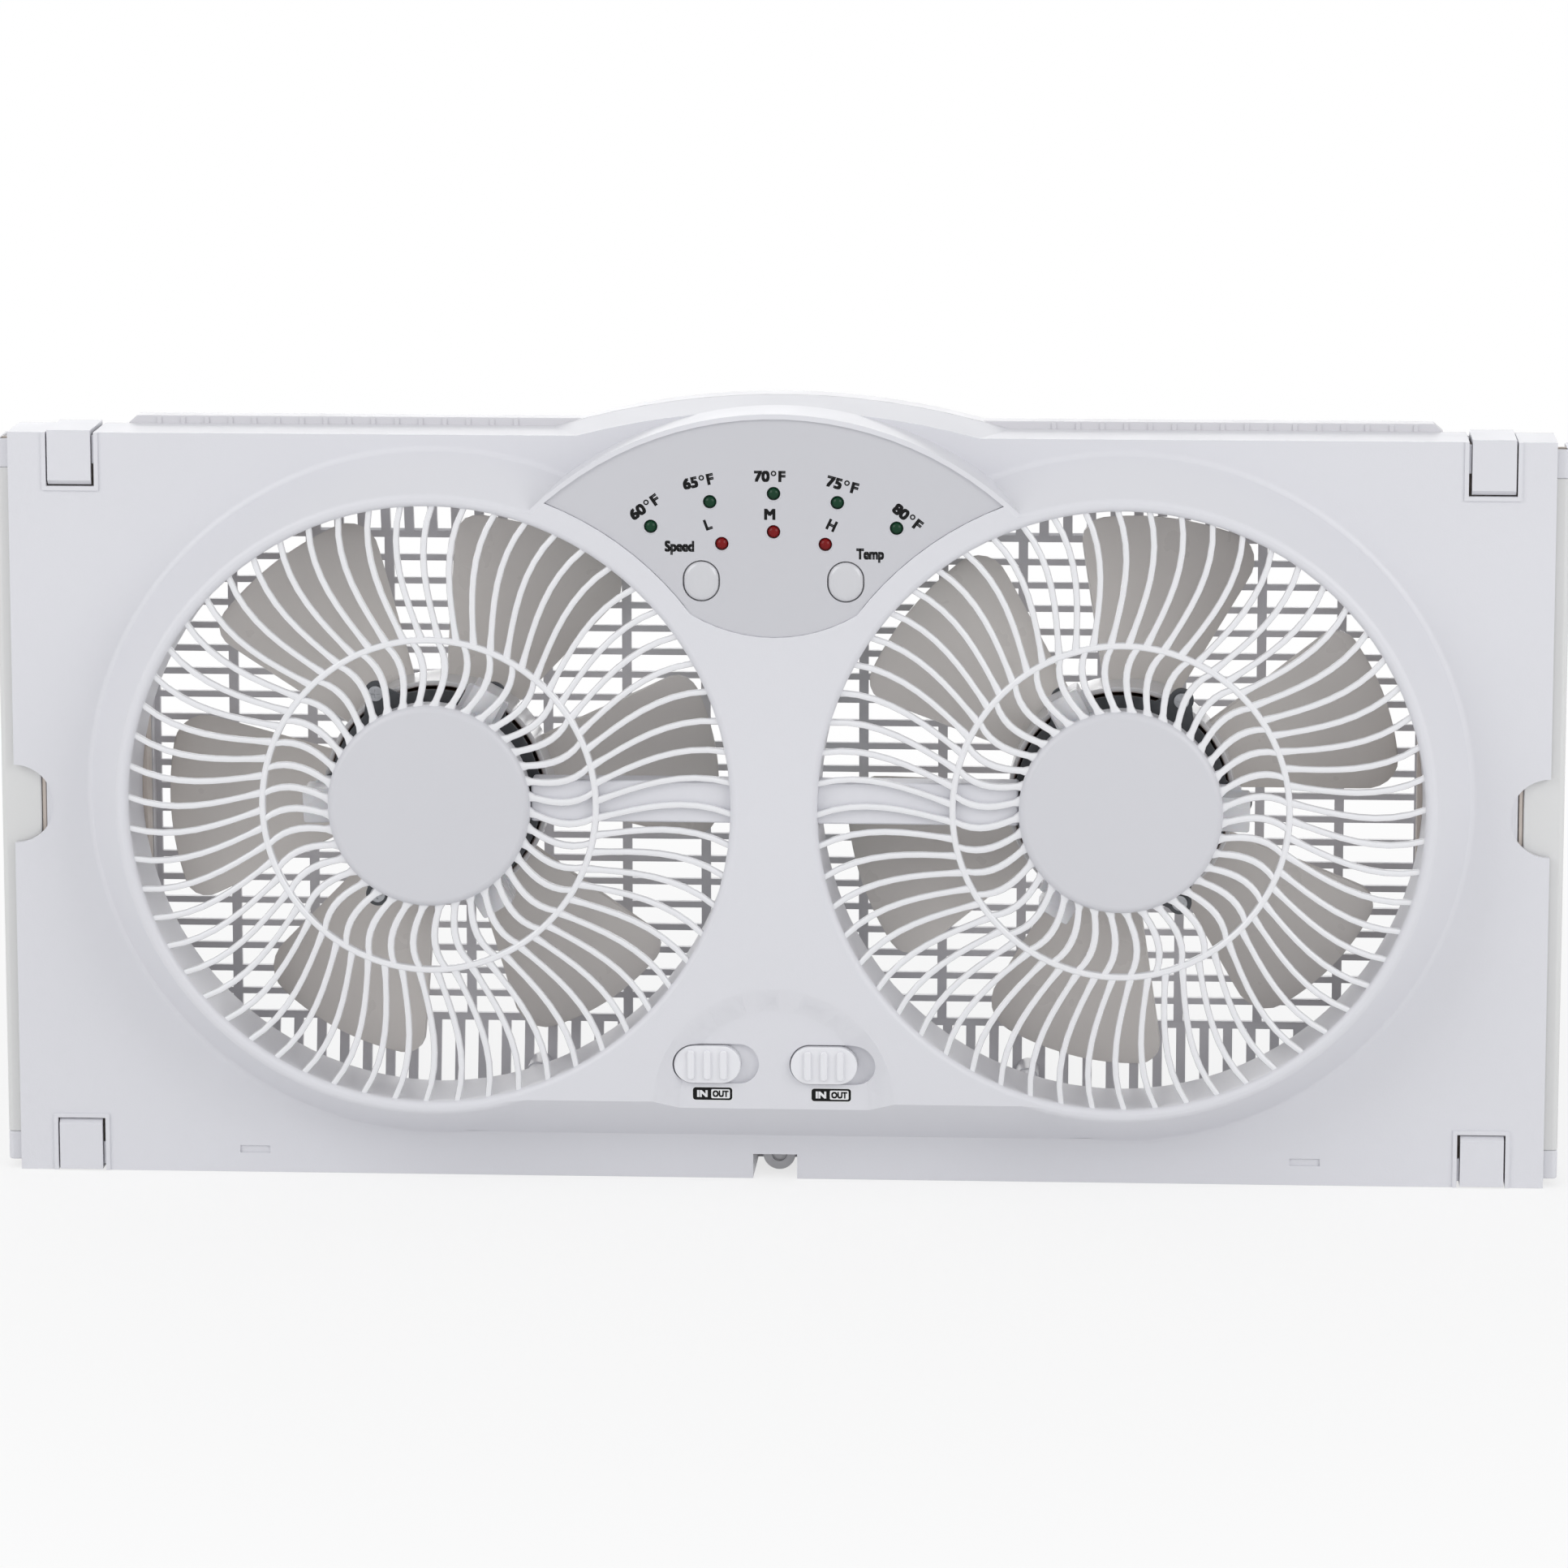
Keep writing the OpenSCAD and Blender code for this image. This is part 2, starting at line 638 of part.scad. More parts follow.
module rear_cover() color([0.8, 0.79, 0.78]) {
    // the end walls stand a little proud of the bars
    proud = 0.3;
    top_l = norm([depth - ridge_y, shell_h - 2 * proud - grille_high_z]);
    low_l = norm([depth - ridge_y, grille_low_z - 2 * proud]);
    top_a = atan2(depth - ridge_y, shell_h - 2 * proud - grille_high_z);
    low_a = atan2(depth - ridge_y, grille_low_z - 2 * proud);
    difference() {
        union() {
            difference() {
                union() {
                    block([-half_w, split_y, 0], [half_w, split_y + 2, shell_h]);
                    plate(split_y + 2 - eps, ridge_y - split_y - 2 + eps) cover_outline(0);
                    hump(split_y, ridge_y, 0, 0);
                }
                plate(split_y - 1, ridge_y - wall - split_y + 1) cover_outline(wall);
                hump(split_y - 1, ridge_y - wall, wall, wall);
                block(
                    [-grille_half_w + 2, split_y, wall + 3],
                    [grille_half_w - 2, ridge_y + 1, shell_h - wall - 3]
                );
            }
            plate(depth - proud - grille_t, grille_t) flat_grille();
            translate([0, front + depth - proud, grille_high_z])
                rotate([90 + top_a, 0, 0])
                    linear_extrude(grille_t)
                        slope_grille(top_l);
            translate([0, front + depth - proud, grille_low_z])
                rotate([90 - low_a, 0, 0])
                    mirror([0, 1, 0])
                        linear_extrude(grille_t)
                            slope_grille(low_l);
            // end walls of the bulged grille
            for (s = [-1, 1])
                translate([s * (grille_half_w - 0.6) - 1, front, 0])
                    rotate([90, 0, 90])
                        linear_extrude(2)
                            polygon([
                                [ridge_y - wall, proud], [ridge_y - 0.1, proud], [depth, grille_low_z],
                                [depth, grille_high_z], [ridge_y - 0.1, shell_h - proud],
                                [ridge_y - wall, shell_h - proud]
                            ]);
            // bosses for the case screws
            for (s = [-1, 1], x = [screw_x_in, screw_x_out], z = [screw_low_z, screw_high_z])
                rod(s * x, z, split_y, slope_y(z) - 2 - split_y, 4.5);
            // stops that catch the innermost slats
            for (s = [-1, 1]) {
                x = s * (slat_out - 1);
                block(
                    [x - 1, slat_y + 3 * slat_pitch + slat_t + 0.4, wall + 0.3],
                    [x + 1, split_y + eps, shell_h - wall - 0.3]
                );
                block([x - 1, split_y, wall - eps], [x + 1, split_y + 3, shell_h - wall + eps]);
            }
            // ears for the lock pins
            for (s = [-1, 1], e = [-1, 1], up = [false, true])
                lock_ear(s * lock_x + e * (lock_w / 2 + lock_gap + 1.5), up);
            // cradle of the cord gland
            block([-9, split_y, wall - eps], [9, split_y + 3, 14]);
        }
        screw_places() {
            rod(0, 0, split_y - 1, 19, screw_r + 0.15);
            rod(0, 0, split_y + 8, 30, 3.3);
        }
        for (s = [-1, 1], up = [false, true]) {
            lock_bed(s, up);
            translate([s * lock_x - 12, front + lock_pin_y, up ? shell_h - lock_pin_in : lock_pin_in])
                rotate([0, 90, 0]) cylinder(r = pin_r + 0.02, h = 24);
        }
        block([-cord_notch_w / 2 - 1, split_y - 1, -1], [cord_notch_w / 2 - 1, split_y + 8, 3]);
        rod(0, 7, split_y - 1, 6, gland_r - 1.9);
    }
}

module lock_ear(x, up) {
    z = up ? shell_h - lock_pin_in : lock_pin_in;
    translate([x - 1.5, front + lock_pin_y, z])
        rotate([0, 90, 0]) cylinder(r = 2.8, h = 3);
    block([x - 1.5, lock_pin_y - 2.8, up ? z : 0.4], [x + 1.5, lock_pin_y + 2.8, up ? shell_h - 0.4 : z]);
}

// Room in the rear cover for a lock's knuckle and its swing
module lock_bed(s, up) {
    x = s * lock_x;
    w = lock_w / 2 + lock_gap;
    if (up) block([x - w, split_y - 1, shell_h - wall - 4], [x + w, lock_pin_y + 5, shell_h + 1]);
    else block([x - w, split_y - 1, -1], [x + w, lock_pin_y + 5, wall + 4]);
}

// ---------------------------------------------------------------- front grilles

// Angle of a spoke's middle line at share t of its length
function sway(a, b, swing, t) = a + (b - a) * t + swing * 4 * t * (1 - t);

// The gap between spoke i and the next one, from radius r1 to r2
function spoke_gap(i, count, r1, r2, w, a, b, swing, n) =
    let (
        step = 360 / count,
        side = function (k, s) [
            for (j = [0 : n])
                let (t = j / n, r = r1 + (r2 - r1) * t, q = k * step + sway(a, b, swing, t) + s * asin(w / 2 / r))
                [r * cos(q), r * sin(q)]
        ],
        up = side(i, 1),
        down = side(i + 1, -1)
    )
    concat(up, [for (j = [n : -1 : 0]) down[j]]);

module front_grille(right) color([0.9, 0.9, 0.92])
    sided(right) {
        plate(grille_y, spoke_t)
            translate([-fan_x, fan_z])
                difference() {
                    windows(
                        [for (i = [0 : 119]) rim_r * [cos(3 * i), sin(3 * i)]],
                        concat(
                            [
                                for (i = [0 : outer_spokes - 1])
                                    spoke_gap(i, outer_spokes, mid_ring_r, spoke_end_r, outer_spoke_w, 2.1, 4.9, outer_swing, 6)
                            ],
                            [
                                for (i = [0 : inner_spokes - 1])
                                    spoke_gap(i, inner_spokes, hub_disc_r - 1, mid_ring_r - mid_ring_w, inner_spoke_w, -2.5, -3.6, -inner_swing, 6)
                            ]
                        )
                    );
                    circle(hub_disc_r - 3);
                }
        turned(-fan_x, fan_z)
            polygon([
                [0, 0], [hub_disc_r - 2.4, 0], [hub_disc_r - 0.9, 0.4], [hub_disc_r, 1.6],
                [hub_disc_r, 6], [hub_disc_r - 2.2, 6], [hub_disc_r - 2.2, 2.6], [0, 2.6]
            ]);
    }

module front_grille_left() front_grille(false);

module front_grille_right() front_grille(true);

// ---------------------------------------------------------------- controls

module lamp_spots(angles, r, z0) {
    for (a = angles) translate([r * sin(a), z0 + r * cos(a)]) children();
}

module control_panel() color([0.87, 0.87, 0.89]) {
    plate(panel_y, panel_t)
        difference() {
            panel_shape(0);
            for (s = [-1, 1]) translate([s * button_x, button_z]) slot_shape(button_w, button_w + button_tall);
            lamp_spots(temp_angles, temp_arc_r, temp_arc_z) circle(led_r + 0.15);
            lamp_spots(speed_angles, speed_arc_r, speed_arc_z) circle(led_r + 0.15);
        }
    // stakes that the control board sits on
    for (x = [-36, 36]) {
        rod(x, stake_z, panel_y + panel_t - eps, board_y - panel_y - panel_t + eps, 2.5);
        rod(x, stake_z, board_y - eps, board_t + 0.8, 1);
    }
}

module lamps(angles, r, z0) {
    for (a = angles)
        turned(r * sin(a), z0 + r * cos(a)) {
            intersection() {
                translate([0, panel_y + led_r - 0.3]) circle(led_r);
                square([led_r + 1, depth]);
            }
            translate([0, panel_y + led_r - 0.3]) square([led_r, board_y - panel_y - led_r + 0.3]);
        }
}

module temperature_lamps() color([0.05, 0.28, 0.15]) lamps(temp_angles, temp_arc_r, temp_arc_z);

module speed_lamps() color([0.5, 0.08, 0.08]) lamps(speed_angles, speed_arc_r, speed_arc_z);

module control_board() color([0.15, 0.42, 0.25])
    difference() {
        block([-52, board_y, button_z - 10], [52, board_y + board_t, button_z + 38]);
        for (x = [-36, 36]) rod(x, stake_z, board_y - 1, board_t + 2, 1.1);
        // corners cut to fit between the rings
        for (s = [-1, 1]) rod(s * fan_x, fan_z, board_y - 1, board_t + 2, opening_r + duct_wall + 1);
    }

module button_contacts() color([0.2, 0.2, 0.22])
    for (s = [-1, 1]) {
        block([s * button_x - 3, board_y - 2, button_z - 3], [s * button_x + 3, board_y, button_z + 3]);
        rod(s * button_x, button_z, board_y - 2.5, 1, 1.6);
    }

module button(s) {
    gap = 0.3;
    w = button_w - 2 * gap;
    translate([s * button_x, 0, button_z]) {
        plate(panel_y - 0.2, panel_t + 2) slot_shape(w, w + button_tall);
        plate(panel_y - 0.8, 1) slot_shape(w - 1.6, w - 1.6 + button_tall);
        plate(panel_y + panel_t + 0.3, 1.2) slot_shape(w + 2 * button_flange, w + 2 * button_flange + button_tall);
        rod(0, 0, panel_y + panel_t + 1, board_y - 2.5 - button_travel - 0.2 - panel_y - panel_t - 1, 2.5);
    }
}

module speed_button() color([0.9, 0.9, 0.9]) button(-1);

module temp_button() color([0.9, 0.9, 0.9]) button(1);

module airflow_knob(s) color([0.92, 0.92, 0.93])
    translate([s * switch_x - knob_run / 2, 0, switch_z]) {
        difference() {
            plate(plateau_y - 2.2, pocket_d + 1.9) slot_shape(knob_l, knob_h);
            for (x = [-6.2, 0, 6.2], e = [-0.9, 0.9])
                block([x + e - 0.35, plateau_y - 3, -knob_h / 2 + 1.5], [x + e + 0.35, plateau_y - 1.7, knob_h / 2 - 1.5]);
        }
        // stem that reaches into the switch
        block([-stem_r, plateau_y + pocket_d - 0.4, -stem_r], [stem_r, plateau_y + 12, stem_r]);
        // shoe behind the floor of the pocket
        plate(plateau_y + pocket_d + pocket_t + 0.3, 1.2) square([knob_l - 9, 4 * stem_r], center = true);
    }

module airflow_knob_left() airflow_knob(-1);

module airflow_knob_right() airflow_knob(1);

module airflow_switches() color([0.16, 0.16, 0.17])
    for (s = [-1, 1])
        difference() {
            block(
                [s * switch_x - 21.2, plateau_y + 9.7, switch_z - 7],
                [s * switch_x + 21.2, plateau_y + 19, switch_z + 7]
            );
            block(
                [s * switch_x - 10, plateau_y + 9, switch_z - stem_r - 0.4],
                [s * switch_x + 10, plateau_y + 15, switch_z + stem_r + 0.4]
            );
        }

module power_board() color([0.13, 0.4, 0.24]) {
    block([-13, power_y, fan_z - 35], [13, power_y + board_t, fan_z + 35]);
    block([-10, power_y + board_t, fan_z - 27], [10, power_y + 14, fan_z - 3]);
    for (z = [5, 21]) block([-8, power_y + board_t, fan_z + z], [6, power_y + 11, fan_z + z + 12]);
}

module room_sensor() color([0.12, 0.12, 0.13]) {
    rod(0, button_z - 15, board_y + board_t + 3, 5, 2.2);
    block([-3, board_y + board_t, button_z - 17], [3, board_y + board_t + 3, button_z - 6]);
}

module cord_gland() color([0.78, 0.78, 0.79])
    difference() {
        union() {
            rod(0, 7, split_y - 16, 15.7, gland_r);
            rod(0, 7, split_y - 0.3, 8, gland_r - 2);
            rod(0, 7, split_y + 3.3, 4, gland_r - 0.2);
        }
        rod(0, 7, split_y - 17, 26, 3);
    }

// ---------------------------------------------------------------- motors

module motor_carrier(s) color([0.85, 0.85, 0.87])
    difference() {
        union() {
            turned(s * fan_x, fan_z)
                polygon([
                    [carrier_r - 2.4, 2.6], [carrier_r, 2.6], [carrier_r, flange_y], [carrier_r - 2.4, flange_y]
                ]);
            for (a = [30 : 120 : 270])
                rod(s * fan_x + 25 * cos(a), fan_z + 25 * sin(a), 2.6, flange_y - 2.6, 4);
            turned(s * fan_x, fan_z)
                polygon([
                    [0, flange_y - 12], [carrier_r - 1, flange_y - 12], [carrier_r - 1, flange_y - 10], [0, flange_y - 10]
                ]);
        }
        for (a = [30 : 120 : 270])
            rod(s * fan_x + 25 * cos(a), fan_z + 25 * sin(a), flange_y - 9, 10, screw_r - 0.2);
    }

module motor_carrier_left() motor_carrier(-1);

module motor_carrier_right() motor_carrier(1);

module motor_flange(s) color([0.3, 0.31, 0.32])
    translate([s * fan_x, 0, fan_z])
        plate(flange_y, flange_t)
            difference() {
                union() {
                    circle(flange_r);
                    for (a = [0 : 60 : 300])
                        rotate(a) {
                            translate([ear_pcd_r, 0]) circle(ear_r);
                            translate([flange_r - 6, 0]) polygon([[0, -12], [ear_pcd_r - flange_r + 6, -ear_r], [ear_pcd_r - flange_r + 6, ear_r], [0, 12]]);
                        }
                }
                circle(7.02);
                for (a = [0 : 60 : 300]) rotate(a) translate([ear_pcd_r, 0]) circle(1.7);
                for (a = [30 : 120 : 270]) rotate(a) translate([25, 0]) circle(1.7);
            }

module motor_flange_left() motor_flange(-1);

module motor_flange_right() motor_flange(1);

module stator(s) color([0.55, 0.56, 0.58])
    translate([s * fan_x, 0, fan_z])
        plate(stator_y, stator_l)
            difference() {
                circle(stator_r);
                circle(core_r + air_gap);
                // winding slots
                for (a = [15 : 30 : 345]) rotate(a) translate([27, 0]) slot_shape(9, 4);
            }

module stator_left() stator(-1);

module stator_right() stator(1);

// Insulated copper round the stator: the brown ring seen behind the flange
module winding(s) color([0.5, 0.34, 0.24])
    turned(s * fan_x, fan_z)
        polygon([
            [stator_r + 0.05, flange_y + flange_t + 0.1], [stator_r + 3.2, flange_y + flange_t + 0.1],
            [stator_r + 3.2, back_shield_y - 0.1], [stator_r + 0.05, back_shield_y - 0.1]
        ]);

module winding_left() winding(-1);

module winding_right() winding(1);

module motor_bushes(s) color([0.72, 0.55, 0.3])
    difference() {
        union() {
            rod(s * fan_x, fan_z, flange_y - 2, 6, 7);
            rod(s * fan_x, fan_z, back_shield_y - 1.4, 5.4, 7);
        }
        rod(s * fan_x, fan_z, flange_y - 3, 40, shaft_r + shaft_gap);
    }

module motor_bushes_left() motor_bushes(-1);

module motor_bushes_right() motor_bushes(1);

module motor_back(s) color([0.34, 0.35, 0.36])
    turned(s * fan_x, fan_z)
        polygon([
            [7.02, back_shield_y], [stator_r + 3.2, back_shield_y],
            [stator_r + 3.2, back_shield_y + 1.6], [7.02, back_shield_y + 1.6]
        ]);

module motor_back_left() motor_back(-1);

module motor_back_right() motor_back(1);

module rotor_core(s) color([0.6, 0.6, 0.62])
    difference() {
        rod(s * fan_x, fan_z, stator_y, stator_l, core_r);
        rod(s * fan_x, fan_z, stator_y - 1, stator_l + 2, shaft_r + 0.02);
    }

module rotor_core_left() rotor_core(-1);

module rotor_core_right() rotor_core(1);

module motor_shaft(s) color([0.75, 0.76, 0.78])
    difference() {
        rod(s * fan_x, fan_z, flange_y - 4, cup_back + 9 - flange_y + 4, shaft_r);
        // flat that drives the wheel
        block(
            [s * fan_x - 5, cup_back - 4, fan_z + shaft_r - 0.8],
            [s * fan_x + 5, cup_back + 10, fan_z + shaft_r + 1]
        );
    }

module motor_shaft_left() motor_shaft(-1);

module motor_shaft_right() motor_shaft(1);

// ---------------------------------------------------------------- fan wheels

// A blade seen from the front: a sector with rounded outer corners
module blade_shape() {
    h = blade_sector / 2;
    r_in = cup_r - 1.2;
    big = 13;
    small = 9;
    corner = function (r, a, c, from, to) [
        for (i = [0 : 5])
            let (q = from + (to - from) * i / 5, m = [(r - c) * cos(a), (r - c) * sin(a)])
            m + c * [cos(q), sin(q)]
    ];
    a1 = h - asin(small / (tip_r - small));
    a2 = -h + asin(big / (tip_r - big));
    polygon(concat(
        [r_in * [cos(-h), sin(-h)]],
        corner(tip_r, a2, big, -h - 90, a2),
        [for (i = [1 : 7]) let (q = a2 + (a1 - a2) * i / 8) (tip_r - 0.8 * sin(180 * i / 8)) * [cos(q), sin(q)]],
        corner(tip_r, a1, small, a1, h + 90),
        [for (i = [0 : 6]) let (q = h - i * h / 3) r_in * [cos(q), sin(q)]]
    ));
}

module fan_wheel(s, angle) color([0.72, 0.71, 0.7])
    difference() {
        union() {
            turned(s * fan_x, fan_z)
                polygon([
                    [cup_r - cup_wall, cup_front], [cup_r, cup_front], [cup_r, cup_back - 3], [cup_r - 3, cup_back],
                    [0, cup_back], [0, cup_back - cup_wall], [cup_r - cup_wall - 2, cup_back - cup_wall],
                    [cup_r - cup_wall, cup_back - cup_wall - 2]
                ]);
            rod(s * fan_x, fan_z, cup_back - 6, 7, 9);
            for (i = [0 : blade_count - 1])
                translate([s * fan_x, front + blade_y, fan_z])
                    rotate([0, -angle - i * 360 / blade_count, 0])
                        intersection() {
                            rotate([90, 0, 0]) linear_extrude(60, center = true) blade_shape();
                            rotate([blade_pitch, 0, 0])
                                translate([cup_r - 3, -blade_t / 2, -60]) cube([tip_r, blade_t, 120]);
                        }
        }
        rod(s * fan_x, fan_z, cup_back - 7, 20, shaft_r + 0.02);
    }

module fan_wheel_left() fan_wheel(-1, left_angle);

module fan_wheel_right() fan_wheel(1, right_angle);

// Nut and washer that hold the wheel on its shaft
module wheel_nuts(s) color([0.7, 0.71, 0.72])
    difference() {
        union() {
            rod(s * fan_x, fan_z, cup_back + 1.05, 1, 8);
            translate([s * fan_x, front + cup_back + 2.05, fan_z])
                rotate([-90, 0, 0]) cylinder(r = 7, h = 5, $fn = 6);
        }
        rod(s * fan_x, fan_z, cup_back, 20, shaft_r + 0.02);
    }

module wheel_nuts_left() wheel_nuts(-1);

module wheel_nuts_right() wheel_nuts(1);

// ---------------------------------------------------------------- wiring

// Trough that carries a motor's leads behind the spokes to the middle
module wire_channel(right) color([0.86, 0.86, 0.88])
    sided(right)
        translate([-fan_x + hub_disc_r + 0.1, front, fan_z])
            rotate([90, 0, 90])
                linear_extrude(fan_x - hub_disc_r - 11)
                    difference() {
                        translate([channel_y, -channel_low])
                            square([channel_back - channel_y, channel_low + channel_high]);
                        translate([channel_y + 2, 2 - channel_low])
                            square([channel_back - channel_y, channel_low + channel_high - 4]);
                    }

module wire_channel_left() wire_channel(false);

module wire_channel_right() wire_channel(true);

module motor_leads() color([0.15, 0.15, 0.16])
    for (s = [-1, 1], e = [0, 1]) {
        r = 1.1;
        y = 12 + 2.6 * e;
        z = fan_z + 3 * e;
        inner = 11.8;
        outer = fan_x - carrier_r - 3;
        translate([min(s * inner, s * outer), front + y, z])
            rotate([0, 90, 0]) cylinder(r = r, h = outer - inner);
        translate([s * inner, front + y, z]) sphere(r);
        rod(s * inner, z, y, power_y - y, r);
    }

// ---------------------------------------------------------------- side extenders

module bar_profile(y0, x0) {
    // front web and outer web of the bar
    square([bar_w, slat_t]);
    square([slat_t, bar_d]);
}

module bar_length(right, z0, z1) {
    sided(right)
        translate([-bar_outer, front + bar_y, z0])
            linear_extrude(z1 - z0)
                bar_profile();
}

module extender_bar_left() color([0.84, 0.85, 0.82]) bar_length(false, slat_low + cap_h, slat_high - cap_h);

module extender_bar_right() color([0.84, 0.85, 0.82]) bar_length(true, slat_low + cap_h, slat_high - cap_h);

module extender_caps(right) color([0.88, 0.88, 0.89]) {
    bar_length(right, slat_low, slat_low + cap_h);
    bar_length(right, slat_high - cap_h, slat_high);
}

module extender_caps_left() extender_caps(false);

module extender_caps_right() extender_caps(true);

// One telescoping slat. The first is fixed to the bar; the others hang on its hooks.
module slat(k, right) color([0.83, 0.82, 0.79])
    sided(right) {
        y = slat_y + (k - 1) * slat_pitch;
        out = k == 1 ? bar_outer - slat_t : slat_out;
        block([-out, y, slat_low], [-slat_in, y + slat_t, slat_high]);
        block([-slat_in - hook_w, y, slat_low], [-slat_in, y + slat_t + hook, slat_high]);
        if (k > 1) block([-slat_out, y - hook, slat_low], [-slat_out + hook_w, y + slat_t, slat_high]);
    }

module slat_1_left() slat(1, false);
module slat_2_left() slat(2, false);
module slat_3_left() slat(3, false);
module slat_4_left() slat(4, false);
module slat_1_right() slat(1, true);
module slat_2_right() slat(2, true);
module slat_3_right() slat(3, true);
module slat_4_right() slat(4, true);

// ---------------------------------------------------------------- corner locks

// A flap that folds over the edge of the housing and turns on a pin at its back
module corner_lock(right, up) color([0.9, 0.9, 0.91])
    sided(right)
        translate([0, 0, up ? 0 : shell_h])
            mirror([0, 0, up ? 0 : 1]) {
                top = shell_h + (up ? lock_proud : -0.4);
                x0 = -lock_x - lock_w / 2;
                x1 = -lock_x + lock_w / 2;
                difference() {
                    union() {
                        block([x0, face_y - lock_proud, shell_h - lock_h], [x1, face_y + plate_t - lock_proud, top]);
                        block([x0, face_y - lock_proud, top - plate_t], [x1, lock_pin_y, top]);
                        translate([x0, front + lock_pin_y, shell_h - lock_pin_in])
                            rotate([0, 90, 0]) cylinder(r = knuckle_r, h = lock_w);
                        block([x0, lock_pin_y - knuckle_r, shell_h - lock_pin_in], [x1, lock_pin_y, top]);
                    }
                    translate([x0 - 1, front + lock_pin_y, shell_h - lock_pin_in])
                        rotate([0, 90, 0]) cylinder(r = pin_r + pin_gap, h = lock_w + 2);
                }
            }

module lock_top_left() corner_lock(false, true);

module lock_top_right() corner_lock(true, true);

module lock_bottom_left() corner_lock(false, false);

module lock_bottom_right() corner_lock(true, false);

module lock_pins() color([0.7, 0.7, 0.72])
    for (s = [-1, 1], z = [lock_pin_in, shell_h - lock_pin_in])
        translate([s * lock_x - lock_w / 2 - lock_gap - 2.8, front + lock_pin_y, z])
            rotate([0, 90, 0]) cylinder(r = pin_r, h = lock_w + 2 * lock_gap + 5.6);

// ---------------------------------------------------------------- screws

module case_screws() color([0.68, 0.68, 0.7])
    screw_places() {
        rod(0, 0, split_y - 10, 18.3, screw_r - 0.3);
        difference() {
            rod(0, 0, split_y + 8.1, 2, 3);
            block([-1.8, split_y + 9, -0.4], [1.8, split_y + 11, 0.4]);
            block([-0.4, split_y + 9, -1.8], [0.4, split_y + 11, 1.8]);
        }
    }

module motor_screws() color([0.72, 0.72, 0.73])
    for (s = [-1, 1]) {
        for (a = [0 : 60 : 300])
            translate([s * fan_x + ear_pcd_r * cos(a), 0, fan_z + ear_pcd_r * sin(a)]) {
                difference() {
                    rod(0, 0, flange_y - 1.6, 1.5, 2.9);
                    block([-1.7, flange_y - 2, -0.35], [1.7, flange_y - 0.9, 0.35]);
                    block([-0.35, flange_y - 2, -1.7], [0.35, flange_y - 0.9, 1.7]);
                }
                rod(0, 0, flange_y - 0.3, flange_t + 2, 1.4);
            }
    }

front_shell();
rear_cover();
front_grille_left();
front_grille_right();
control_panel();
temperature_lamps();
speed_lamps();
control_board();
button_contacts();
speed_button();
temp_button();
airflow_knob_left();
airflow_knob_right();
airflow_switches();
power_board();
room_sensor();
motor_carrier_left();
motor_carrier_right();
motor_flange_left();
motor_flange_right();
stator_left();
stator_right();
winding_left();
winding_right();
motor_bushes_left();
motor_bushes_right();
motor_back_left();
motor_back_right();
rotor_core_left();
rotor_core_right();
motor_shaft_left();
motor_shaft_right();
fan_wheel_left();
fan_wheel_right();
wheel_nuts_left();
wheel_nuts_right();
wire_channel_left();
wire_channel_right();
motor_leads();
cord_gland();
extender_bar_left();
extender_bar_right();
extender_caps_left();
extender_caps_right();
slat_1_left();
slat_2_left();
slat_3_left();
slat_4_left();
slat_1_right();
slat_2_right();
slat_3_right();
slat_4_right();
lock_top_left();
lock_top_right();
lock_bottom_left();
lock_bottom_right();
lock_pins();
case_screws();
motor_screws();
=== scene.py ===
import math

import bmesh
import bpy
from mathutils import Matrix, Vector


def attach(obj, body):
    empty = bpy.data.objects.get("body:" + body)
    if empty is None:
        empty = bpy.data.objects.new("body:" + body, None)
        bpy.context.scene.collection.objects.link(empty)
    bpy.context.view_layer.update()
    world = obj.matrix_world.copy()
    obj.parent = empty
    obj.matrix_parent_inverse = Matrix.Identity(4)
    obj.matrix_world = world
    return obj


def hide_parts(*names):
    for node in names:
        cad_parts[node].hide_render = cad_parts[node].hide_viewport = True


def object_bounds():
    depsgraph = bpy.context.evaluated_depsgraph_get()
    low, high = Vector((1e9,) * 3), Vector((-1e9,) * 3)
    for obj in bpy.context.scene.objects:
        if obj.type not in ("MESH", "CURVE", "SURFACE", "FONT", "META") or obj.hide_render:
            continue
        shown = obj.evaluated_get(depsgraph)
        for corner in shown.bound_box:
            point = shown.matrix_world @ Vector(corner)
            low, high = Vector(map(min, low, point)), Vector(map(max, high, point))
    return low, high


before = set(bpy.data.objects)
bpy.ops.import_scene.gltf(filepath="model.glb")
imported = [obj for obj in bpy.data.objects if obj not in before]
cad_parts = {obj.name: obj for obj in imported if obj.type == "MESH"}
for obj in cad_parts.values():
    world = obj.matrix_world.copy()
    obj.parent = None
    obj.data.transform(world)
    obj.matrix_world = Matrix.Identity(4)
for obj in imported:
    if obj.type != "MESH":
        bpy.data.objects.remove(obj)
cad_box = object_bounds()
scene = bpy.context.scene
scene.view_settings.view_transform = "Standard"

# ---------------------------------------------------------------- rear cover
# The back half of the housing: one moulding in greyish white ABS, with a bulged grille of flat bars
# and eight screw bosses inside. It closes the fan from behind, and the front shell is screwed to it.
MM = 0.001
HALF_DEPTH = 40
REAR_EASE = 0.45


def at(x, depth, z):
    """A point by its millimetres: across, back from the front plane of the rings, and up."""
    return Vector((x, depth - HALF_DEPTH, z)) * MM


def shade(red, green, blue):
    """The linear colour of a paint chip given as 0 to 255."""
    return tuple(
        (c / 255 / 12.92 if c < 11 else ((c / 255 + 0.055) / 1.055) ** 2.4) for c in (red, green, blue)
    ) + (1.0,)


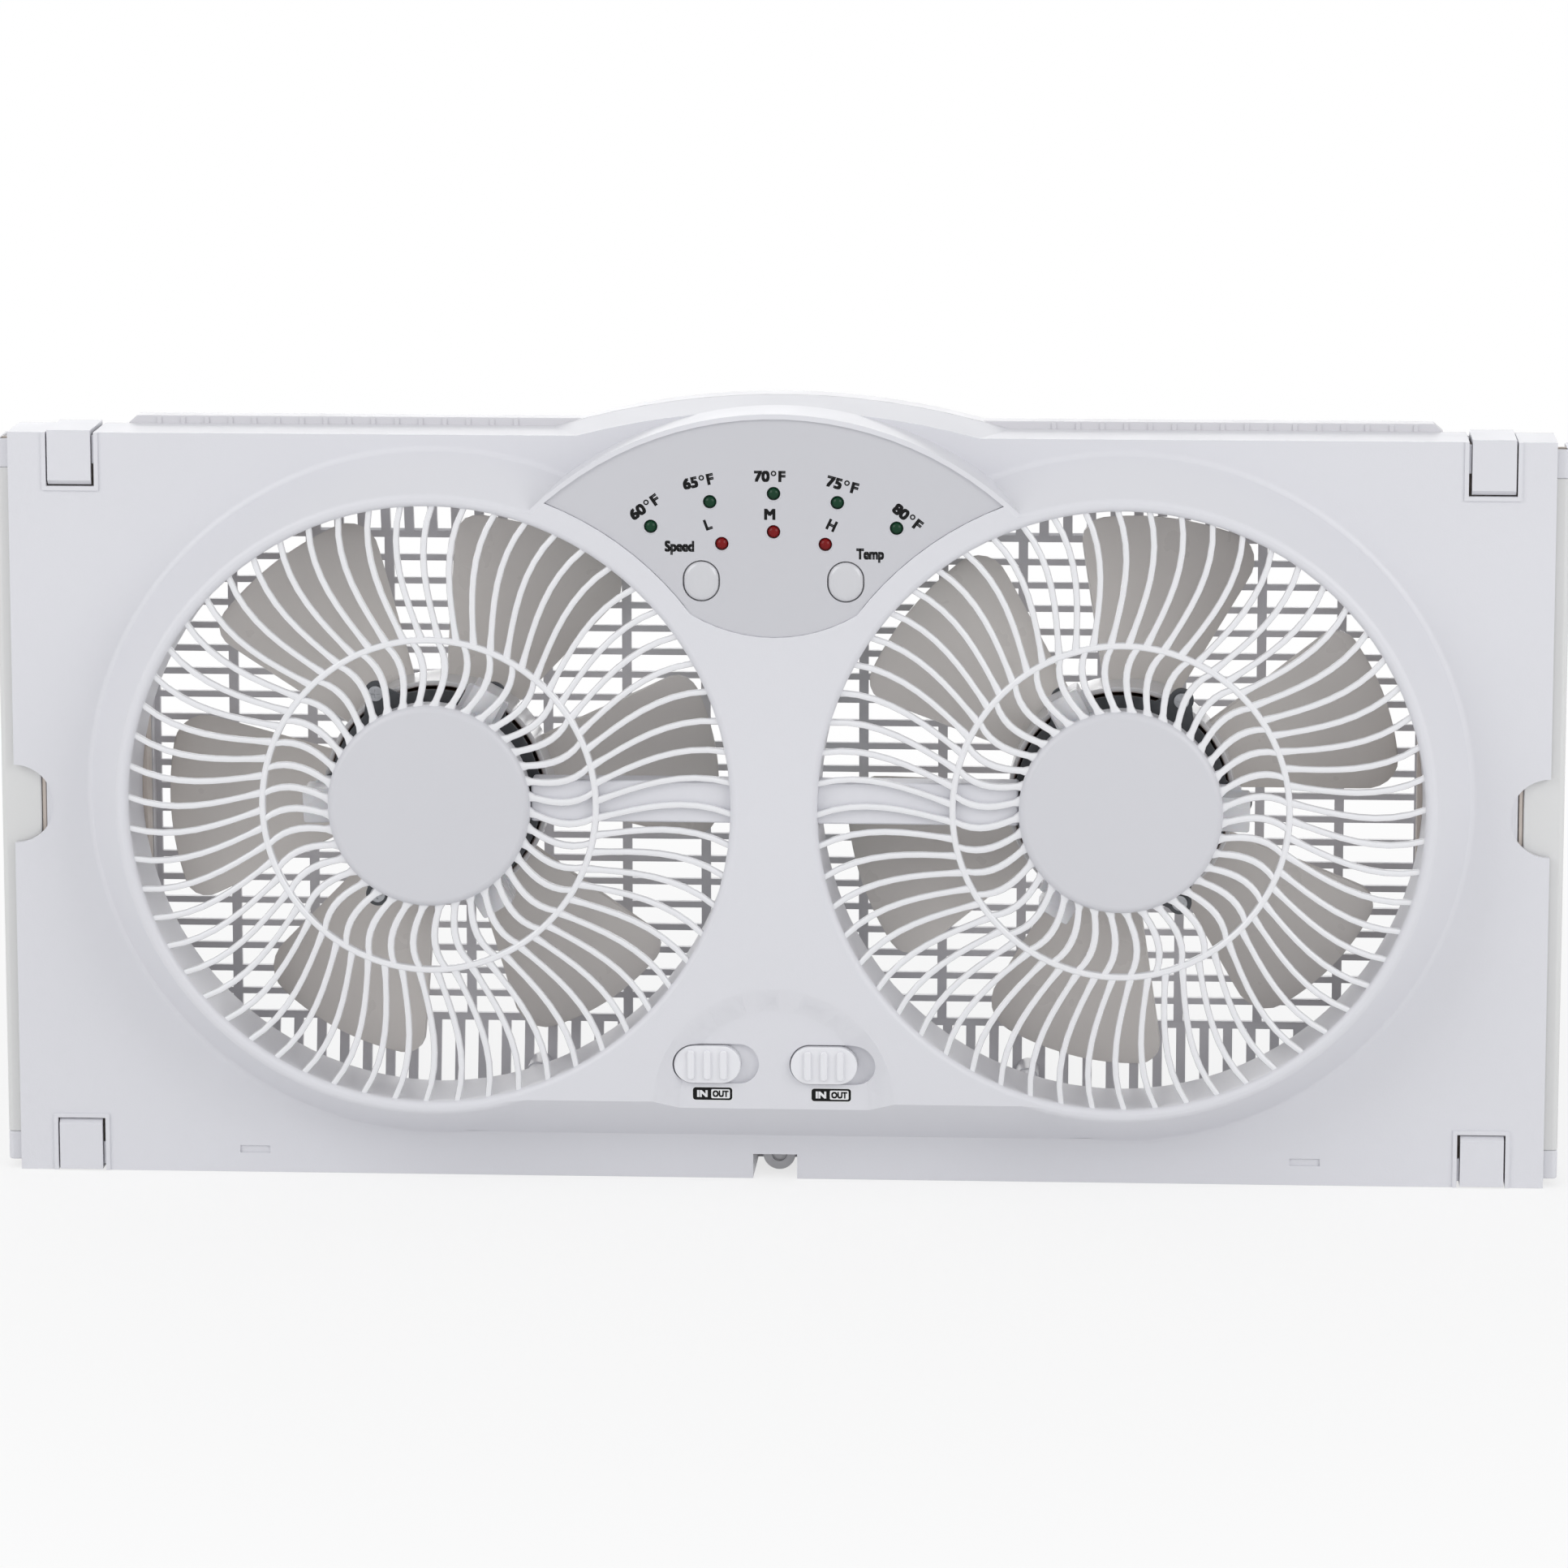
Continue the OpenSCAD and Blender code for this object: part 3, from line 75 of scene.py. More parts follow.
def new_group(name, inputs, outputs):
    """A shader node group with its sockets: the group, its input values and its output sockets."""
    group = bpy.data.node_groups.new(name, "ShaderNodeTree")
    for label, kind, value in inputs:
        group.interface.new_socket(label, in_out="INPUT", socket_type=kind).default_value = value
    for label, kind in outputs:
        group.interface.new_socket(label, in_out="OUTPUT", socket_type=kind)
    return group, group.nodes.new("NodeGroupInput").outputs, group.nodes.new("NodeGroupOutput").inputs


def moulded_plastic_group():
    """Injection-moulded plastic: faint clouds of colour, uneven gloss and the tool's fine grain."""
    group, given, put = new_group(
        "moulded_plastic",
        [
            ("Colour", "NodeSocketColor", (0.8, 0.8, 0.8, 1)),
            ("Cloud colour", "NodeSocketColor", (0.78, 0.78, 0.78, 1)),
            ("Clouds per metre", "NodeSocketFloat", 9.0),
            ("Grains per metre", "NodeSocketFloat", 1400.0),
            ("Smoothest", "NodeSocketFloat", 0.3),
            ("Roughest", "NodeSocketFloat", 0.4),
        ],
        [("Colour", "NodeSocketColor"), ("Roughness", "NodeSocketFloat"), ("Height", "NodeSocketFloat")],
    )
    nodes, links = group.nodes, group.links
    place = nodes.new("ShaderNodeTexCoord").outputs["Object"]

    def noise(scale, detail):
        node = nodes.new("ShaderNodeTexNoise")
        node.inputs["Detail"].default_value = detail
        links.new(place, node.inputs["Vector"])
        if isinstance(scale, float):
            node.inputs["Scale"].default_value = scale
        else:
            links.new(scale, node.inputs["Scale"])
        return node.outputs["Fac"]

    def ranged(value, low, high):
        node = nodes.new("ShaderNodeMapRange")
        links.new(value, node.inputs["Value"])
        node.inputs["From Min"].default_value = 0.2
        node.inputs["From Max"].default_value = 0.8
        for source, name in ((low, "To Min"), (high, "To Max")):
            if isinstance(source, float):
                node.inputs[name].default_value = source
            else:
                links.new(source, node.inputs[name])
        return node.outputs["Result"]

    tint = nodes.new("ShaderNodeMix")
    tint.data_type = "RGBA"
    links.new(ranged(noise(given["Clouds per metre"], 2.0), 0.0, 1.0), tint.inputs["Factor"])
    links.new(given["Colour"], tint.inputs["A"])
    links.new(given["Cloud colour"], tint.inputs["B"])
    links.new(tint.outputs["Result"], put["Colour"])
    links.new(ranged(noise(55.0, 3.0), given["Smoothest"], given["Roughest"]), put["Roughness"])
    links.new(noise(given["Grains per metre"], 2.0), put["Height"])
    return group


MOULDED = moulded_plastic_group()


def new_material(name):
    """A new material with its nodes, its links and its Principled BSDF."""
    material = bpy.data.materials.new(name)
    material.use_nodes = True
    nodes = material.node_tree.nodes
    return material, nodes, material.node_tree.links, nodes["Principled BSDF"]


def moulded(name, colour, cloud, smoothest, roughest, grains=1400, relief=0.02, clouds=9, **shader):
    """A plastic with the moulded finish; shader holds values for the Principled BSDF's own sockets."""
    material, nodes, links, bsdf = new_material(name)
    surface = nodes.new("ShaderNodeGroup")
    surface.node_tree = MOULDED
    surface.inputs["Colour"].default_value = shade(*colour)
    surface.inputs["Cloud colour"].default_value = shade(*cloud)
    surface.inputs["Clouds per metre"].default_value = clouds
    surface.inputs["Grains per metre"].default_value = grains
    surface.inputs["Smoothest"].default_value = smoothest
    surface.inputs["Roughest"].default_value = roughest
    bump = nodes.new("ShaderNodeBump")
    bump.inputs["Distance"].default_value = relief * MM
    links.new(surface.outputs["Colour"], bsdf.inputs["Base Color"])
    links.new(surface.outputs["Roughness"], bsdf.inputs["Roughness"])
    links.new(surface.outputs["Height"], bump.inputs["Height"])
    links.new(bump.outputs["Normal"], bsdf.inputs["Normal"])
    for socket, value in shader.items():
        bsdf.inputs[socket.replace("_", " ")].default_value = value
    return material


def moulding_of(node):
    """A copy of a CAD node's mesh, with its loose triangles merged into whole faces."""
    bm = bmesh.new()
    bm.from_mesh(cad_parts[node].data)
    bmesh.ops.remove_doubles(bm, verts=bm.verts, dist=1e-6)
    bmesh.ops.dissolve_limit(
        bm, angle_limit=math.radians(1), verts=bm.verts, edges=bm.edges, delimit={"NORMAL"}
    )
    return bm


def ease(bm, wide, corner=28, segments=2, only=lambda edge: True):
    """Round the edges that turn by more than corner degrees, as the real tool's edges are."""
    edges = [
        e for e in bm.edges
        if e.is_manifold and e.calc_face_angle(0) > math.radians(corner) and only(e)
    ]
    bmesh.ops.bevel(
        bm, geom=edges, offset=wide * MM, offset_type="OFFSET", segments=segments, profile=0.5,
        affect="EDGES", clamp_overlap=True, material=-1,
    )


def piece(bm, name, material, body, slot, *nodes, crease=35):
    """Finish a mesh as a piece that rides on a body and stands for the CAD nodes named."""
    mesh = bpy.data.meshes.new(name)
    bm.to_mesh(mesh)
    bm.free()
    mesh.polygons.foreach_set("use_smooth", [True] * len(mesh.polygons))
    mesh.set_sharp_from_angle(angle=math.radians(crease))
    mesh.materials.append(material)
    made = bpy.data.objects.new(name, mesh)
    scene.collection.objects.link(made)
    flats = made.modifiers.new("flat faces stay flat", "WEIGHTED_NORMAL")
    flats.keep_sharp = True
    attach(made, body)
    if nodes:
        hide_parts(*nodes)
    return made


def whole(bm):
    """Everything in a mesh, as the operators take it."""
    return bm.verts[:] + bm.edges[:] + bm.faces[:]


rear_plastic = moulded("rear_plastic", (222, 221, 225), (218, 217, 221), 0.36, 0.44, relief=0.025)
bm = moulding_of("rear_cover")
ease(bm, REAR_EASE)


def add(bm, other):
    """Add one mesh to another, and let go of it."""
    mesh = bpy.data.meshes.new("part")
    other.to_mesh(mesh)
    other.free()
    bm.from_mesh(mesh)
    bpy.data.meshes.remove(mesh)


def block(low, high, taper=1.0, soft=0.3):
    """A block between two corners given across, back and up; taper draws its top in lengthways."""
    made = bmesh.new()
    bmesh.ops.create_cube(made, size=1)
    for vert in made.verts:
        side = [(high[i] if vert.co[i] > 0 else low[i]) for i in range(3)]
        middle = (low[0] + high[0]) / 2
        if vert.co.z > 0:
            side[0] = middle + (side[0] - middle) * taper
        vert.co = at(*side)
    ease(made, soft)
    return made


# the ridge along the top, with the ends of the grille's upright bars showing as small teeth
RIDGE_HALF, RIDGE_LOW, RIDGE_TOP = 251.5, 286.6, 289.9
RIDGE_FRONT, RIDGE_BACK = 58.5, 67.6
TOOTH_FRONT, TOOTH_BACK, TOOTH_W = 57.9, 59.5, 1.8
TOOTH_STARTS, TOOTH_PITCH, TOOTH_COPIES = (-240.0, 102.8), 9.15, 15
add(bm, block((-RIDGE_HALF, RIDGE_FRONT, RIDGE_LOW), (RIDGE_HALF, RIDGE_BACK, RIDGE_TOP), taper=0.985))
for start in TOOTH_STARTS:
    teeth = block(
        (start, TOOTH_FRONT, RIDGE_LOW), (start + TOOTH_W, TOOTH_BACK, RIDGE_TOP - 0.5), soft=0.2
    )
    bmesh.ops.spin(
        teeth, geom=whole(teeth), cent=(0, 0, 0), axis=(0, 0, 1), angle=0,
        dvec=(TOOTH_PITCH * MM, 0, 0), steps=TOOTH_COPIES, use_duplicate=True,
    )
    add(bm, teeth)
piece(bm, "rear_cover_moulding", rear_plastic, "housing", "rear_white", "rear_cover")

# ---------------------------------------------------------------- motors
# Two small shaded-pole motors. Each hangs behind its hub disc on a white carrier: a dark steel flange
# with six ears, a laminated stator in lacquered copper, a steel back plate and bronze bushes.
FAN_X = 130.7
FAN_Z = 149
LEG_TURN = 62
LEG_OUT, LEG_W, LEG_LONG = 48.6, 13, 14
LEG_FRONT, FLANGE_DEPTH = 8, 26.7
FOOT_W, FOOT_LONG, FOOT_T, FOOT_SHIFT = 17, 12, 3, 2.4


def metal(name, colour, roughness, metallic, streaks, relief=0.01, stretch=(1, 1, 1)):
    """Metal with faint streaks of polish; stretch runs them along one way."""
    material, nodes, links, bsdf = new_material(name)
    bsdf.inputs["Metallic"].default_value = metallic
    where = nodes.new("ShaderNodeTexCoord")
    turned = nodes.new("ShaderNodeMapping")
    turned.inputs["Scale"].default_value = stretch
    grain = nodes.new("ShaderNodeTexNoise")
    grain.inputs["Scale"].default_value = streaks
    grain.inputs["Detail"].default_value = 4
    links.new(where.outputs["Object"], turned.inputs["Vector"])
    links.new(turned.outputs["Vector"], grain.inputs["Vector"])
    tone = nodes.new("ShaderNodeValToRGB")
    for stop, factor in ((0, 0.86), (1, 1.12)):
        tone.color_ramp.elements[stop].color = tuple(min(1, c * factor) for c in shade(*colour)[:3]) + (1,)
    tone.color_ramp.elements[0].position = 0.3
    tone.color_ramp.elements[1].position = 0.7
    polish = nodes.new("ShaderNodeMapRange")
    polish.inputs["To Min"].default_value = roughness - 0.06
    polish.inputs["To Max"].default_value = roughness + 0.08
    bump = nodes.new("ShaderNodeBump")
    bump.inputs["Distance"].default_value = relief * MM
    links.new(grain.outputs["Fac"], tone.inputs["Fac"])
    links.new(tone.outputs["Color"], bsdf.inputs["Base Color"])
    links.new(grain.outputs["Fac"], polish.inputs["Value"])
    links.new(polish.outputs["Result"], bsdf.inputs["Roughness"])
    links.new(grain.outputs["Fac"], bump.inputs["Height"])
    links.new(bump.outputs["Normal"], bsdf.inputs["Normal"])
    return material


def layered(name, dark, light, pitch, roughness, metallic, relief):
    """Layers or turns stacked front to back, pitch millimetres apart."""
    material, nodes, links, bsdf = new_material(name)
    bsdf.inputs["Metallic"].default_value = metallic
    bsdf.inputs["Roughness"].default_value = roughness
    where = nodes.new("ShaderNodeTexCoord")
    layers = nodes.new("ShaderNodeTexWave")
    layers.bands_direction = "Y"
    layers.inputs["Scale"].default_value = 1000 / pitch / 20 * math.tau / math.pi
    layers.inputs["Distortion"].default_value = 1.2
    layers.inputs["Detail Scale"].default_value = 3
    tone = nodes.new("ShaderNodeValToRGB")
    tone.color_ramp.elements[0].color = shade(*dark)
    tone.color_ramp.elements[1].color = shade(*light)
    bump = nodes.new("ShaderNodeBump")
    bump.inputs["Distance"].default_value = relief * MM
    links.new(where.outputs["Object"], layers.inputs["Vector"])
    links.new(layers.outputs["Fac"], tone.inputs["Fac"])
    links.new(tone.outputs["Color"], bsdf.inputs["Base Color"])
    links.new(layers.outputs["Fac"], bump.inputs["Height"])
    links.new(bump.outputs["Normal"], bsdf.inputs["Normal"])
    return material


def dress(material, *nodes):
    """Give CAD nodes that stay as they are their real finish."""
    for node in nodes:
        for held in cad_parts[node].material_slots:
            held.material = material


def both(name):
    """The left and the right node of a pair."""
    return name + "_left", name + "_right"


# Drawings are made in their own flat X and Y and stood up facing the front
FACING = Matrix(((1, 0, 0, 0), (0, 0, -1, 0), (0, 1, 0, 0), (0, 0, 0, 1)))


def stand(bm, x, depth, z, turn=0, verts=None):
    """Stand a flat drawing up at its place, turned anticlockwise as seen from the front."""
    bmesh.ops.transform(
        bm, verts=verts or bm.verts,
        matrix=Matrix.Translation(at(x, depth, z)) @ FACING @ Matrix.Rotation(math.radians(turn), 4, "Z"),
    )


def rounded_face(bm, wide, high, radius, segments=8):
    """A flat rectangle with round corners, in millimetres, round the origin."""
    corners = bmesh.ops.create_grid(bm, x_segments=1, y_segments=1, size=0.5)["verts"]
    bmesh.ops.scale(bm, vec=(wide * MM, high * MM, 1), verts=corners)
    bmesh.ops.bevel(
        bm, geom=corners, offset=radius * MM, offset_type="OFFSET", segments=segments, profile=0.5,
        affect="VERTICES", clamp_overlap=True, material=-1,
    )


def verts_of(geom):
    """The vertices among what a mesh operator gave back."""
    return [g for g in geom if isinstance(g, bmesh.types.BMVert)]


def rounded_block(wide, high, deep, radius, edge):
    """A block with round corners and eased edges, its back at zero and its front deep mm forward."""
    bm = bmesh.new()
    rounded_face(bm, wide, high, radius)
    front = bmesh.ops.extrude_face_region(bm, geom=bm.faces[:])["geom"]
    bmesh.ops.translate(bm, vec=(0, 0, deep * MM), verts=verts_of(front))
    bmesh.ops.recalc_face_normals(bm, faces=bm.faces)
    ease(bm, edge, corner=60, segments=3)
    return bm


flange_steel = metal("flange_steel", (92, 94, 97), 0.42, 0.85, 220)
bright_steel = metal("bright_steel", (178, 180, 184), 0.3, 1.0, 500, stretch=(1, 0.1, 1))
sintered_bronze = metal("sintered_bronze", (176, 140, 88), 0.45, 1.0, 900)
laminations = layered("laminations", (96, 98, 102), (150, 152, 156), 0.5, 0.42, 0.9, 0.05)
lacquered_copper = layered("lacquered_copper", (92, 56, 36), (158, 104, 68), 0.6, 0.35, 0.4, 0.12)
carrier_white = moulded("carrier_white", (214, 214, 217), (208, 208, 212), 0.34, 0.42)
leg_nylon = moulded(
    "leg_nylon", (238, 238, 240), (232, 232, 235), 0.22, 0.3, relief=0.01, clouds=60,
    Subsurface_Weight=0.1, Subsurface_Scale=0.002,
)
for side, x in (("left", -FAN_X), ("right", FAN_X)):
    bm = moulding_of("motor_flange_" + side)
    ease(bm, 0.35)
    piece(bm, "motor_flange_plate_" + side, flange_steel, "housing", "dark_steel", "motor_flange_" + side)
    # the carrier's three legs, which come out under the hub disc and press on every other ear
    bm = bmesh.new()
    for third in (0, 120, 240):
        turn = LEG_TURN + third if side == "left" else 180 - LEG_TURN - third
        leg = rounded_block(LEG_W, LEG_LONG, FLANGE_DEPTH - LEG_FRONT, 1, 0.6)
        foot = rounded_block(FOOT_W, FOOT_LONG, FOOT_T, 1.2, 0.5)
        bmesh.ops.translate(foot, vec=(0, -FOOT_SHIFT * MM, 0), verts=foot.verts)
        add(leg, foot)
        reach = LEG_OUT - LEG_LONG / 2
        stand(
            leg, x + reach * math.cos(math.radians(turn)), FLANGE_DEPTH,
            FAN_Z + reach * math.sin(math.radians(turn)), turn - 90,
        )
        add(bm, leg)
    piece(bm, "carrier_legs_" + side, leg_nylon, "housing", "gloss_white")
dress(carrier_white, *both("motor_carrier"))
dress(laminations, *both("stator"), *both("rotor_core"))
dress(lacquered_copper, *both("winding"))
dress(sintered_bronze, *both("motor_bushes"))
dress(flange_steel, *both("motor_back"))
dress(bright_steel, *both("motor_shaft"), *both("wheel_nuts"), "motor_screws")

# ---------------------------------------------------------------- fan wheels
# Two six-bladed wheels in glossy warm grey polypropylene. The blades are twisted, thin, and rounded at
# both outer corners; they spring from a deep cup that goes over the motor and is nutted to its shaft.
CUP_R = 43.2
TIP_R = 106.4
BLADE_MIDDLE = 55
BLADE_HALF = math.radians(20)
BLADE_T, BLADE_CROWN, BLADE_CELLS = 2, 1.6, 14
ROOT_PITCH, TIP_PITCH, ROOT_SINK = 27, 19, 0.8
CORNER_AHEAD, CORNER_BEHIND, STRAIGHT_SHARE = 9, 13, 0.6


def turned(bm, x, z, outline, steps=96, closed=False):
    """Turn an outline of radius and depth round an axis that runs front to back."""
    ring = [bm.verts.new(at(x + r, depth, z)) for r, depth in outline]
    pairs = zip(ring, ring[1:] + ring[:1]) if closed else zip(ring, ring[1:])
    bmesh.ops.spin(
        bm, geom=ring + [bm.edges.new(p) for p in pairs], cent=at(x, 0, z), axis=(0, 1, 0),
        angle=math.tau, steps=steps, use_merge=True,
    )


def blade(bm):
    """One blade along X: a grid bent to its twisted, round-cornered sector, then given its wall."""
    sheet = bmesh.ops.create_grid(bm, x_segments=BLADE_CELLS, y_segments=BLADE_CELLS, size=0.5)["verts"]
    root = CUP_R - ROOT_SINK
    for vert in sheet:
        across, out = 2 * vert.co.x, vert.co.y + 0.5
        straight = TIP_R - CORNER_BEHIND
        if out < STRAIGHT_SHARE:
            r = root + (straight - root) * out / STRAIGHT_SHARE
        else:
            rest = (out - STRAIGHT_SHARE) / (1 - STRAIGHT_SHARE)
            r = straight + CORNER_BEHIND * math.sin(rest * math.pi / 2)
        corner = CORNER_AHEAD if across > 0 else CORNER_BEHIND
        into = max(0.0, r - TIP_R + corner)
        half = BLADE_HALF - (corner - math.sqrt(max(0.0, corner**2 - into**2))) / r
        angle = across * half
        pitch = math.radians(ROOT_PITCH + (TIP_PITCH - ROOT_PITCH) * (r - root) / (TIP_R - root))
        crown = BLADE_CROWN * (1 - across**2) * r / TIP_R
        depth = BLADE_MIDDLE - r * math.sin(angle) * math.tan(pitch) - crown + BLADE_CROWN / 2
        vert.co = at(r * math.cos(angle), depth, r * math.sin(angle))
    bmesh.ops.recalc_face_normals(bm, faces=bm.faces)
    bmesh.ops.solidify(bm, geom=bm.faces[:], thickness=BLADE_T * MM)
    bmesh.ops.recalc_face_normals(bm, faces=bm.faces)
    ease(bm, 0.55, corner=50)


wheel_plastic = moulded(
    "wheel_plastic", (224, 219, 214), (219, 214, 209), 0.26, 0.32, grains=900, relief=0.008, clouds=14,
    Coat_Weight=0.15, Coat_Roughness=0.2,
)
cup_plastic = moulded("cup_plastic", (222, 221, 222), (218, 217, 218), 0.18, 0.24, relief=0.008)
for side, x, first in (("left", -FAN_X, 6), ("right", FAN_X, 19)):
    bm = bmesh.new()
    blade(bm)
    bmesh.ops.rotate(
        bm, cent=(0, 0, 0), matrix=Matrix.Rotation(math.radians(-first), 3, "Y"), verts=bm.verts
    )
    bmesh.ops.spin(
        bm, geom=whole(bm), cent=(0, 0, 0), axis=(0, 1, 0), angle=math.radians(300), steps=5,
        use_duplicate=True,
    )
    bmesh.ops.translate(bm, vec=(x * MM, 0, FAN_Z * MM), verts=bm.verts)
    piece(bm, "fan_blades_" + side, wheel_plastic, side + "_wheel", "wheel_white")
    bm = bmesh.new()
    turned(bm, x, FAN_Z, [
        (41.2, 31.6), (41.6, 31.1), (42.2, 31), (42.8, 31.1), (43.2, 31.6), (43.2, 57.6), (42.9, 59),
        (42.1, 60.2), (41, 60.8), (39.6, 61), (9, 61), (9, 62), (4.05, 62), (4.05, 55), (9, 55),
        (9, 59), (38.8, 59), (40.2, 58.6), (41, 57.6), (41.2, 56.4),
    ], closed=True)
    bmesh.ops.recalc_face_normals(bm, faces=bm.faces)
    piece(bm, "wheel_cup_" + side, cup_plastic, side + "_wheel", "wheel_white", "fan_wheel_" + side)

# ---------------------------------------------------------------- front shell
# The front half of the housing: one large moulding in cool white ABS with a fine satin grain. It
# carries both rings and ducts, the waist with the switch plateau, and the pod over the controls.
RING_R = 118.7
FOOT_R = 132.4
FACE_DEPTH = 28
ARCH_R, ARCH_Z = 46.9, 34.3
PANEL_SIDE_R, PANEL_LOW_R, PANEL_LOW_MIDDLE = 124.25, 60.25, 275
RIM_FROM_Z, RIM_TO_X, LOW_ARC_TO_Z = 212, 56, 240
NOTCH_WALL_X, NOTCH_Z, NOTCH_FLOOR_W, NOTCH_FLOOR_HALF = 279.3, 143.5, 2.6, 7.5
LOCK_X, LOCK_HALF, LOCK_GAP, LOCK_TRIM = 269.2, 8.6, 0.6, 0.6
LEDGE_FRONT, LEDGE_BACK = 28.9, 30.6
SHELL_H = 287
HUMP_R, HUMP_Z, HUMP_HALF, HUMP_T = 296.9, 3, 17.2, 4.5
HUMP_FRONT, HUMP_BACK = 28.6, 55.8


def middle_of(edge):
    """The middle of an edge in millimetres: across, back from the front plane, and up."""
    middle = (edge.verts[0].co + edge.verts[1].co) / 2 / MM
    return middle.x, middle.y + HALF_DEPTH, middle.z


def near_ring(edge, radius, depth):
    """True for an edge on a circle of this radius round a fan's axis, at this depth."""
    x, back, z = middle_of(edge)
    from_axis = math.hypot(abs(x) - FAN_X, z - FAN_Z)
    return abs(from_axis - radius) < 0.7 and abs(back - depth) < 0.6


def on_arch(edge):
    """True for an edge on the outer arc of the slope that leads down to the switch plateau."""
    x, back, z = middle_of(edge)
    return abs(math.hypot(x, z - ARCH_Z) - ARCH_R) < 0.6 and back < 0.3


def on_panel_rim(edge):
    """True for a front edge of the seat of the control panel, apart from the top arc."""
    x, back, z = middle_of(edge)
    if back > 0.1 or z < RIM_FROM_Z or abs(x) > RIM_TO_X:
        return False
    from_axis = math.hypot(abs(x) - FAN_X, z - FAN_Z)
    from_low = math.hypot(x, z - PANEL_LOW_MIDDLE)
    return abs(from_axis - PANEL_SIDE_R) < 0.4 or (abs(from_low - PANEL_LOW_R) < 0.4 and z < LOW_ARC_TO_Z)


shell_plastic = moulded("shell_plastic", (225, 225, 230), (222, 222, 227), 0.38, 0.44, relief=0.03)
bm = moulding_of("front_shell")
ease(bm, 2.6, segments=5, only=lambda e: near_ring(e, FOOT_R, FACE_DEPTH))
ease(bm, 1.5, segments=4, only=lambda e: near_ring(e, RING_R, 0))
ease(bm, 1.2, corner=12, segments=3, only=on_arch)
ease(bm, 0.8, segments=4, only=on_panel_rim)
ease(bm, 0.5)
# the hump rises in one slope from behind the pod to the rear cover
slope = bmesh.new()
start = math.radians(-HUMP_HALF)
corners = [
    slope.verts.new(at(r * math.sin(start), depth, HUMP_Z + r * math.cos(start)))
    for r, depth in (
        (HUMP_R - 2.9, HUMP_FRONT), (HUMP_R, HUMP_BACK), (HUMP_R - HUMP_T, HUMP_BACK),
        (HUMP_R - HUMP_T, HUMP_FRONT),
    )
]
bmesh.ops.spin(
    slope, geom=corners + [slope.faces.new(corners)], cent=at(0, 0, HUMP_Z), axis=(0, 1, 0),
    angle=math.radians(2 * HUMP_HALF), steps=48,
)
bmesh.ops.recalc_face_normals(slope, faces=slope.faces)
add(bm, slope)
for s in (-1, 1):
    # the floor beside the wall of each finger notch
    low_x, high_x = sorted((s * (NOTCH_WALL_X - NOTCH_FLOOR_W), s * NOTCH_WALL_X))
    low_z, high_z = NOTCH_Z - NOTCH_FLOOR_HALF, NOTCH_Z + NOTCH_FLOOR_HALF
    add(bm, block((low_x, 29.4, low_z), (high_x, 30.4, high_z), soft=0.1))
    # the ledge that shows in the wide gap of each corner lock
    pocket = s * (LOCK_X - LOCK_HALF - LOCK_GAP)
    low_x, high_x = sorted((pocket - s * 0.4, pocket + s * (LOCK_GAP + LOCK_TRIM - 0.25)))
    for low_z, high_z in ((SHELL_H - 12, SHELL_H - 1.2), (2.2, 11)):
        add(bm, block((low_x, LEDGE_FRONT, low_z), (high_x, LEDGE_BACK, high_z), soft=0.1))
piece(bm, "front_shell_moulding", shell_plastic, "housing", "shell_white", "front_shell", crease=20)

# ---------------------------------------------------------------- front grilles
# Two round guards in glossy white ABS, clipped into the rings: sixty outer and forty inner spokes that
# sway sideways, a ring between them, and a flat disc with a soft edge over the motor.
OPENING_R = 114.6
MID_R, MID_W = 64.6, 2.5
DISC_R, DISC_EDGE, SKIRT_DEPTH = 38.5, 2.8, 13.5
SPOKE_T, SPOKE_BENDS = 3, 7
GUARD_DEPTH = 2


def spokes(bm, count, r_in, r_out, wide, lean_in, lean_out, swing, flare):
    """One swayed, round-edged spoke, repeated all round its hub."""
    bar = bmesh.new()

    def lengthways():
        return [e for e in bar.edges if abs(e.verts[0].co.x - e.verts[1].co.x) > 0.5]

    bmesh.ops.create_cube(bar, size=1)
    bmesh.ops.bevel(
        bar, geom=lengthways(), offset=0.36, offset_type="OFFSET", segments=2, profile=0.5,
        affect="EDGES", material=-1,
    )
    bmesh.ops.subdivide_edges(bar, edges=lengthways(), cuts=SPOKE_BENDS)
    for vert in bar.verts:
        t = vert.co.x + 0.5
        r = r_in + (r_out - r_in) * t
        lean = math.radians(lean_in + (lean_out - lean_in) * t + swing * 4 * t * (1 - t))
        half = vert.co.y * wide * (1 + flare * max(0, 1 - (r - r_in) / 3) ** 2)
        angle = lean + math.asin(half / r)
        vert.co = at(r * math.cos(angle), GUARD_DEPTH + SPOKE_T * (0.5 - vert.co.z), r * math.sin(angle))
    bmesh.ops.spin(
        bar, geom=whole(bar), cent=(0, 0, 0), axis=(0, 1, 0), angle=math.tau * (count - 1) / count,
        steps=count - 1, use_duplicate=True,
    )
    add(bm, bar)


